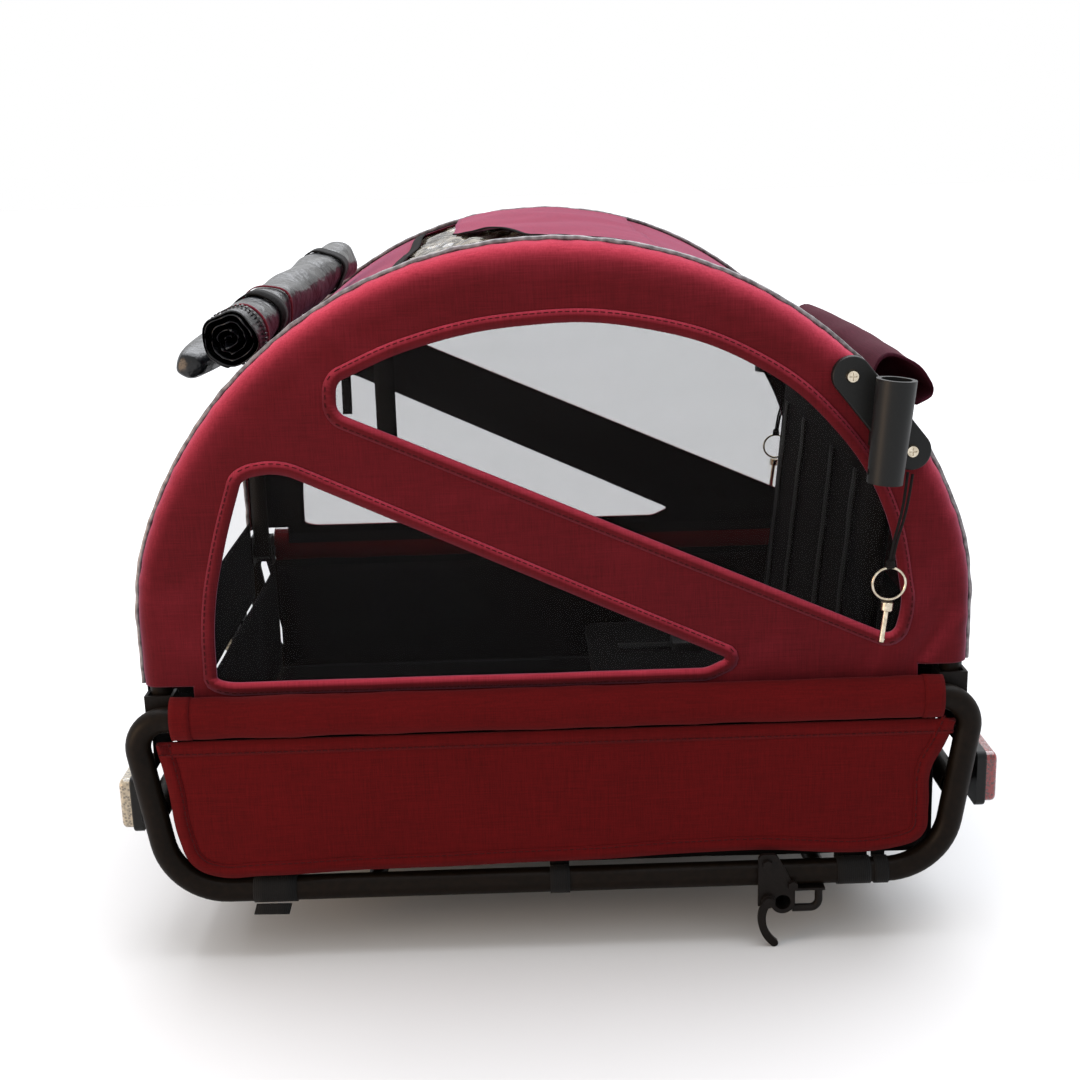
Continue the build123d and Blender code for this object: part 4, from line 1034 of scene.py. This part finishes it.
binding_red = bmesh.new()
for way in (34 * mm, 150 * mm):
    band(binding_red, way, 5 * mm, 1.2 * mm, 0.8 * mm)
bmesh.ops.remove_doubles(binding_red, verts=binding_red.verts, dist=1e-6)
bmesh.ops.recalc_face_normals(binding_red, faces=binding_red.faces)
cover_binding = add_piece("cover_red_binding", binding_red, "base", "red_cloth", rear_cloth)
zip_form = bmesh.new()
zip_way = 24 * mm
for index in range(40):
    turn = math.tau * index / 40
    spot = roll_near + roll_ahead * zip_way
    across = roll_out * math.cos(turn) + roll_up * math.sin(turn)
    basis = Matrix((across, across.cross(roll_ahead), roll_ahead)).transposed().to_4x4()
    size = Matrix.Diagonal((1.8 * mm, 2.0 * mm, 5 * mm, 1))
    centre = spot + across * 28.6 * mm * roll_lump(turn - 0.8, zip_way)
    bmesh.ops.create_cube(zip_form, size=1, matrix=Matrix.Translation(centre) @ basis @ size)
cover_zip = add_piece("cover_zip_teeth", zip_form, "base", "black_plastic", buckle_plastic,
                      smooth=False)
tie_form = bmesh.new()
for share in (0.22, 0.82):
    band(tie_form, share * roll_length, 24 * mm, 1.8 * mm, 1.2 * mm)
bmesh.ops.remove_doubles(tie_form, verts=tie_form.verts, dist=1e-6)
bmesh.ops.recalc_face_normals(tie_form, faces=tie_form.faces)
ties = add_piece("cover_tie_bands", tie_form, "base", "black_webbing", webbing_x)
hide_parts("cover_ties")
print("bands", len(ties.data.polygons), "faces, zip", len(cover_zip.data.polygons) // 6, "teeth")

# %% [markdown]
# The rain cover is folded into a smooth bolster along the top of the opening, with a rounded end.
# A ball is stretched, its middle pulled along the fold, and the skin is creased lengthwise.
# %% Rain cover
rain_near, rain_far = Vector((-361, -226, 594)) * mm, Vector((-321, 214, 619)) * mm
rain_ahead = (rain_far - rain_near).normalized()
rain_out = rain_ahead.cross(Vector((0, 0, 1))).normalized()
rain_up = rain_out.cross(rain_ahead)
rain_form = bmesh.new()
bmesh.ops.create_uvsphere(rain_form, u_segments=40, v_segments=40, radius=1)
rain_length = (rain_far - rain_near).length
for vert in rain_form.verts:
    x, y, z = vert.co
    girth = math.hypot(x, y)
    full = girth ** 0.3 if girth > 1e-6 else 0
    turn = math.atan2(y, x)
    way = rain_length * (0.5 + 0.5 * math.copysign(abs(z) ** 0.9, z))
    crease = 1 + 0.10 * waves(math.cos(turn), math.sin(turn), way / 0.5, 0.9, 41)
    radius = 22 * mm * full * crease
    vert.co = (rain_near + rain_ahead * way + rain_out * radius * math.cos(turn) * 1.05
               + rain_up * radius * math.sin(turn) * 0.92)
rain_form.normal_update()
bmesh.ops.recalc_face_normals(rain_form, faces=rain_form.faces)
rain = add_piece("rain_cover_folded", rain_form, "base", "rolled_cover", cover_skin)
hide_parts("rain_cover_roll")
print("rain cover", round(rain_length, 3), "m long")

# %% [markdown]
# Each top rail lies in a cloth sleeve, a tube of red cloth that is sewn to the side panel's foot
# and hemmed at both ends. An ellipse of vertices is pulled along the rail in short steps, and each
# step is squeezed and shifted a little, as cloth on a rail is.
# %% Rail sleeves
rail_y, top_rail_z, bottom_rail_z = -340 * mm, 259 * mm, 72.5 * mm


def sleeve(x_from, x_to, half_y, half_z, step, seed):
    """A wavy cloth tube along the left rail."""
    form = bmesh.new()
    section = (Matrix.Translation((x_from, rail_y, top_rail_z))
               @ Matrix.Rotation(math.pi / 2, 4, "Y") @ Matrix.Diagonal((half_z, half_y, 1, 1)))
    bmesh.ops.create_circle(form, segments=36, radius=1, matrix=section)
    rim = form.edges[:]
    for index in range(round((x_to - x_from) / step)):
        rim = pull_rim(form, rim, (step, 0, 0))
    bmesh.ops.recalc_face_normals(form, faces=form.faces)
    for vert in form.verts:
        out = Vector((0, vert.co.y - rail_y, vert.co.z - top_rail_z)).normalized()
        wave = waves(vert.co.x, vert.co.y, vert.co.z, 48 * mm, seed)
        fine = waves(vert.co.x, vert.co.y, vert.co.z, 16 * mm, seed + 4)
        vert.co += out * mm * max(1.0 * wave + 0.3 * fine + 0.5, 0)
    bmesh.ops.solidify(form, geom=form.faces[:], thickness=0.9 * mm)
    return form


sleeve_form = sleeve(-382.5 * mm, 382.5 * mm, 14 * mm, 21 * mm, 5 * mm, 51)
left_sleeve = add_piece("left_sleeve_cloth", sleeve_form, "base", "red_cloth", skirt_cloth)
hem_form = bmesh.new()
for x_from, x_to in ((-383 * mm, -363 * mm), (363 * mm, 383 * mm)):
    hem_form.from_mesh(as_mesh("ring", sleeve(x_from, x_to, 14.9 * mm, 21.9 * mm, 5 * mm, 51)))
left_sleeve_hem = add_piece("left_sleeve_hems", hem_form, "base", "red_cloth", skirt_cloth)
right_sleeve = right_twin(left_sleeve, "right_sleeve_cloth", "base")
right_sleeve_hem = right_twin(left_sleeve_hem, "right_sleeve_hems", "base")
for hand, tube, hem in (("left", left_sleeve, left_sleeve_hem),
                        ("right", right_sleeve, right_sleeve_hem)):
    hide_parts(hand + "_rail_sleeve")
print("sleeves", len(left_sleeve.data.polygons), "faces each")

# %% [markdown]
# The lower panels close the sides between the sleeve and the bottom rail. They are thicker cloth
# with a wide stitched border, and they hang in slow waves because only their straps hold them.
# %% Lower panels
skirt_y = -346.5 * mm
skirt_line = [(-400, 237, 3), (397, 237, 3), (386, 212), (372, 184), (371, 145), (367, 114),
              (346, 101), (200, 101), (-60, 95), (-300, 91), (-350, 91), (-373, 104), (-384, 132),
              (-391, 190)]


def settle_skirt(vert):
    """Waves one vertex of a left lower panel or its border."""
    x, z = vert.co.x, vert.co.z
    low = max(0, min((0.237 - z) / 0.14, 1))
    bulge = 3.5 * mm * math.sin(math.pi * min(low, 1)) * (0.6 + 0.4 * waves(x, 0, 0, 220 * mm, 61))
    fold = 1.5 * mm * waves(x, 0, z, 80 * mm, 63) * low
    curl = 2.5 * mm * low**3 * waves(x, 0, 0, 120 * mm, 65)
    vert.co.y -= bulge + fold + curl


skirt_form = cut(side_slab((-0.405, 0.08), (0.405, 0.24), skirt_y, cloth_thick, 6 * mm),
                 ("INTERSECT", prism(outline_face(skirt_line), -0.36, -0.33)))
for face in skirt_form.faces:
    face.material_index = 1 if face.normal.y > 0.5 else 0
border_form = hem_ring(skirt_line, -15 * mm, skirt_y, hem_thick)
skirt_thread = bmesh.new()
seam = sewn_line(face_line(skirt_line), stitch_pitch, -12.5 * mm)
stitches(skirt_thread, seam, skirt_y - hem_thick)
for form in (skirt_form, border_form, skirt_thread):
    for vert in form.verts:
        settle_skirt(vert)
left_skirt = add_piece("left_lower_cloth", skirt_form, "base", "red_cloth", skirt_cloth, lining)
left_border = add_piece("left_lower_border", border_form, "base", "red_cloth", skirt_cloth)
left_sewing = add_piece("left_lower_stitches", skirt_thread, "base", "red_cloth", thread,
                        smooth=False)
right_skirt = right_twin(left_skirt, "right_lower_cloth", "base")
right_border = right_twin(left_border, "right_lower_border", "base")
right_sewing = right_twin(left_sewing, "right_lower_stitches", "base")
for hand, skirt, extras in (("left", left_skirt, [left_border, left_sewing]),
                            ("right", right_skirt, [right_border, right_sewing])):
    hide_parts(hand + "_lower_panel")
print("lower panels", len(left_skirt.data.polygons), "faces each")

# %% [markdown]
# Inside, the cabin is a black tub: a floor, low walls and an apron at each end that closes the gap
# under the dome. They are plain lining cloth with a stiffener. Each is a thin slab of squares with
# slow waves, so that it never looks like a board.
# %% Tub and aprons
def wavy_sheet(name, across, up, place, thick, ripple, seed, finish):
    """A thin sheet spanned by two directions from its corner, gently waved."""
    form = bmesh.new()
    across, up, place = (Vector(v) * mm for v in (across, up, place))
    normal = across.cross(up).normalized()
    basis = Matrix((across, up, normal)).transposed().to_4x4()
    centre = Matrix.Translation(place + (across + up) / 2)
    bmesh.ops.create_grid(form, x_segments=max(4, round(across.length / 0.012)),
                          y_segments=max(4, round(up.length / 0.012)), size=0.5,
                          matrix=centre @ basis)
    for vert in form.verts:
        vert.co += normal * ripple * mm * waves(*vert.co, 90 * mm, seed)
    bmesh.ops.solidify(form, geom=form.faces[:], thickness=thick * mm)
    bmesh.ops.recalc_face_normals(form, faces=form.faces)
    piece = add_piece(name, form, "base", "black_cloth", finish)
    return piece


floor = wavy_sheet("floor_cloth", (768, 0, 0), (0, 643, 0), (-384, -321.5, 84.5), 1.6, 0.6, 71,
                   lining)
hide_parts("floor_panel")
for label, x in (("front", -382.5), ("rear", 382.5)):
    wall = wavy_sheet(label + "_wall_cloth", (0, 643, 0), (0, 0, 146), (x, -321.5, 86), 1.6, 1.0,
                      73, lining_across)
    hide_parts("tub_end_walls")
for label, y in (("left", -320), ("right", 320)):
    wall = wavy_sheet(label + "_wall_cloth", (760, 0, 0), (0, 0, 146), (-380, y, 86), 1.6, 1.0,
                      77, lining)
    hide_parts("tub_side_walls")
front_apron = wavy_sheet("front_apron_cloth", (0, 612, 0), (0, 0, 108), (-411.5, -306, 192), 1.6,
                         0.6, 79, lining_across)
rear_apron = wavy_sheet("rear_apron_cloth", (0, 612, 0), (0, 0, 108), (411.5, -306, 192), 1.6,
                        0.6, 83, lining_across)
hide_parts("front_apron")
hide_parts("rear_apron")
print("tub and aprons", 7, "sheets")

# %% [markdown]
# The bench and its back are foam in a black cover. A block slightly smaller than the cushion is
# remeshed into even squares and blown up by the Cloth modifier with a little pressure, which rounds
# it between its corners. No point may move further than the cap, so the pad keeps its size.
# %% Padded seat
def finished_mesh(piece):
    """A copy of a piece's mesh as its modifiers leave it."""
    finished = piece.evaluated_get(bpy.context.evaluated_depsgraph_get())
    return bpy.data.meshes.new_from_object(finished)


def cushion(name, place, size, tilt, cap, node):
    """A stuffed pad: a block with round edges, inflated."""
    form = bmesh.new()
    basis = Matrix.Translation(Vector(place) * mm) @ Matrix.Rotation(tilt, 4, "Y")
    block = basis @ Matrix.Diagonal([side * mm for side in size] + [1])
    bmesh.ops.create_cube(form, size=1, matrix=block)
    bmesh.ops.bevel(form, geom=form.edges[:], offset=9 * mm, offset_type="OFFSET", affect="EDGES",
                    segments=3, profile=0.5, material=-1)
    pad = add_piece(name, form, "base", "black_cloth", lining_across)
    remesh = pad.modifiers.new("squares", "REMESH")
    remesh.mode = "VOXEL"
    remesh.voxel_size = 7 * mm
    even = finished_mesh(pad)
    pad.modifiers.clear()
    pad.data = even
    still = [vert.co.copy() for vert in even.vertices]
    cloth = pad.modifiers.new("air", "CLOTH")
    cloth.settings.use_pressure = True
    cloth.settings.uniform_pressure_force = 4
    cloth.settings.effector_weights.gravity = 0
    cloth.point_cache.frame_start = 1
    cloth.point_cache.frame_end = 20
    for number in range(1, 21):
        bpy.context.scene.frame_set(number)
    blown = finished_mesh(pad)
    pad.modifiers.clear()
    pad.data = blown
    bpy.context.scene.frame_set(1)
    for vert, start in zip(pad.data.vertices, still):
        moved = vert.co - start
        if moved.length > cap * mm:
            vert.co = start + moved.normalized() * cap * mm
        vert.co += Vector((0, 0, 0.6 * mm)) * waves(*start, 60 * mm, 91)
    pad.data.shade_smooth()
    pad.data.materials.clear()
    pad.data.materials.append(lining_across)
    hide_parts(node)
    return pad


seat = cushion("seat_cushion", (179, 0, 135), (266, 580, 26), 0, 5, "seat_base")
back_tilt = math.atan2(352 - 316, 520 - 156)
back = cushion("seat_back_cushion", (324, 0, 339), (18, 580, 352), back_tilt, 4, "seat_back")
print("cushions", len(seat.data.polygons), len(back.data.polygons), "faces")

# %% [markdown]
# Each seat has two shoulder straps, a lap strap and a crotch strap of black webbing. Straps are
# modelled directly as thin belts with a small bend, because a remesh would erase them. Two tether
# straps hang from the roof's front edge inside the cabin.
# %% Harness and tethers
def belt(form, corner, along_it, across, thick, ripple, seed):
    """A thin webbing belt from a corner, waved along its length."""
    corner, along_it, across = (Vector(v) * mm for v in (corner, along_it, across))
    normal = along_it.cross(across).normalized()
    basis = Matrix((along_it, across, normal)).transposed().to_4x4()
    known = set(form.verts)
    centre = Matrix.Translation(corner + (along_it + across) / 2)
    bmesh.ops.create_grid(form, x_segments=max(6, round(along_it.length / 0.012)), y_segments=3,
                          size=0.5, matrix=centre @ basis)
    fresh = [v for v in form.verts if v not in known]
    for vert in fresh:
        vert.co += normal * ripple * mm * waves(*vert.co, 45 * mm, seed)
    faces = list({f for v in fresh for f in v.link_faces})
    bmesh.ops.solidify(form, geom=faces, thickness=thick * mm)


harness_form = bmesh.new()
back_way = Vector((352 - 316, 0, 520 - 156)).normalized()
back_front = Vector((-back_way.z, 0, back_way.x))
for y in (-150, 150):
    for spread in (-62, 62):
        foot = Vector((316, y + spread - 13, 156)) + back_front * 27.5 + back_way * 14
        belt(harness_form, foot, back_way * 292, (0, 26, 0), 1.8, 0.8, y + spread)
    belt(harness_form, (213, y - 136, 156), (0, 272, 0), (26, 0, 0), 1.8, 0.5, y)
    belt(harness_form, (90, y - 13, 156), (70, 0, 0), (0, 26, 0), 1.8, 0.3, y + 1)
bmesh.ops.recalc_face_normals(harness_form, faces=harness_form.faces)
harness = add_piece("harness_belts", harness_form, "base", "black_webbing", webbing_z)
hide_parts("harness_webbing")
tether_form = bmesh.new()
belt(tether_form, (-197, 0, 440), (0, 0, 205), (23, 0, 0), 1.6, 1.0, 5)
belt(tether_form, (-237, 10, 500), (2, 0, 128), (11, 0, 0), 1.6, 1.5, 6)
bmesh.ops.recalc_face_normals(tether_form, faces=tether_form.faces)
tethers = add_piece("roof_tether_straps", tether_form, "base", "black_webbing", webbing_z)
print("belts", len(harness.data.polygons), "faces")

# %% [markdown]
# Webbing loops hold the floor to the bottom rails. Each is a belt round the tube with a sewn tail
# that goes up behind the lower panel. A strip is spun round the rail's axis to make the loop.
# %% Rail loops
def rail_loop(form, x, width):
    """A belt round the left bottom rail, and its tail."""
    known = set(form.verts)
    start = (Matrix.Translation((x * mm, rail_y + 14.2 * mm, bottom_rail_z))
             @ Matrix.Diagonal((width * mm, 1, 1, 1)))
    first = bmesh.ops.create_grid(form, x_segments=4, y_segments=1, size=0.5,
                                  matrix=start @ Matrix.Diagonal((1, 0.001 * mm, 1, 1)))
    row = sorted(first["verts"], key=lambda v: v.co.y)[:5]
    rest = [v for v in first["verts"] if v not in row]
    bmesh.ops.delete(form, geom=rest, context="VERTS")
    kept = list({e for v in row for e in v.link_edges})
    bmesh.ops.spin(form, geom=row + kept, cent=(0, rail_y, bottom_rail_z), axis=(1, 0, 0),
                   angle=math.tau, steps=28, use_merge=True)
    fresh = [v for v in form.verts if v not in known]
    faces = list({f for v in fresh for f in v.link_faces})
    bmesh.ops.recalc_face_normals(form, faces=faces)
    bmesh.ops.solidify(form, geom=faces, thickness=1.6 * mm)


loops_form = bmesh.new()
for x, width in ((-292, 44), (-2, 20), (298, 34), (326, 14)):
    rail_loop(loops_form, x, width)
    belt(loops_form, (x - width / 2, -328, 82), (0, 4, 26), (width, 0, 0), 1.6, 0.4, x)
belt(loops_form, (-311, -354.5, 62), (-4, 3, -13), (36, 0, -1), 1.4, 0.6, 9)
twin_form = loops_form.copy()
bmesh.ops.scale(twin_form, vec=(1, -1, 1), verts=twin_form.verts)
bmesh.ops.reverse_faces(twin_form, faces=twin_form.faces)
loops_form.from_mesh(as_mesh("twin", twin_form))
loops = add_piece("rail_webbing_loops", loops_form, "base", "black_webbing", webbing_x)
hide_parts("rail_straps")
print("loops", len(loops.data.polygons), "faces")

# %% [markdown]
# When the dome folds down, the roof cloth between the hoops crumples; it can't follow two hoops at
# once. Here the soft pieces up there, and the seat back with its harness, only get meshes of their
# own; nothing flattens or folds them.
# %% Meshes of their own
for piece in (roof, rear, skylight, binding, shade, rear_flap, cover, cover_binding, cover_zip,
              ties, rain, tethers):
    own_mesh(piece)
for piece in (back, harness):
    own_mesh(piece)
print("pieces that flatten", 14)

# %% [markdown]
# The trailer stands on a plain pale floor. A sun lamp as wide as a cloudy sky shines down on it, so
# the roof is bright and the side, which is upright, stays deep red; the side cloth's darker tones
# add painted shade to that. A small warm lamp lights the side from low down at the front, and the
# white world fills in from all sides.
# %% Floor and light
bpy.ops.mesh.primitive_plane_add(size=40)
ground = bpy.context.object
ground.name = "studio_floor"
floor_paint, floor_shader = start_finish("pale_studio_floor", {"Roughness": 0.9})
two_tone(floor_paint, floor_shader, stretched_noise(floor_paint, "none", 0.5, 0.5),
         "#c6c6c6", "#c9c9c9")
ground.data.materials.append(floor_paint)
world = bpy.data.worlds.new("soft_world")
bpy.context.scene.world = world
world.use_nodes = True
world.node_tree.nodes["Background"].inputs["Color"].default_value = (1, 1, 1, 1)
world.node_tree.nodes["Background"].inputs["Strength"].default_value = 1.0


def soft_light(name, place, target, size, power):
    """A square area light that faces a point."""
    lamp = bpy.data.lights.new(name, "AREA")
    lamp.size = size
    lamp.energy = power
    holder = bpy.data.objects.new(name, lamp)
    bpy.context.scene.collection.objects.link(holder)
    holder.location = place
    aim = Vector(target) - Vector(place)
    holder.rotation_euler = aim.to_track_quat("-Z", "Y").to_euler()
    return holder


sky = bpy.data.lights.new("open_sky", "SUN")
sky.angle = math.radians(75)
sky.energy = 5.0
sky.color = (0.93, 0.95, 1.0)
sky_holder = bpy.data.objects.new("open_sky", sky)
bpy.context.scene.collection.objects.link(sky_holder)
sky_holder.rotation_euler = Vector((-0.1, -0.45, -1)).to_track_quat("-Z", "Y").to_euler()
fill = soft_light("low_warm_fill", (-2.6, -1.6, 0.6), (-0.2, 0, 0.3), 1.2, 40)
fill.data.color = (1.0, 0.66, 0.4)
print("lights", 2)
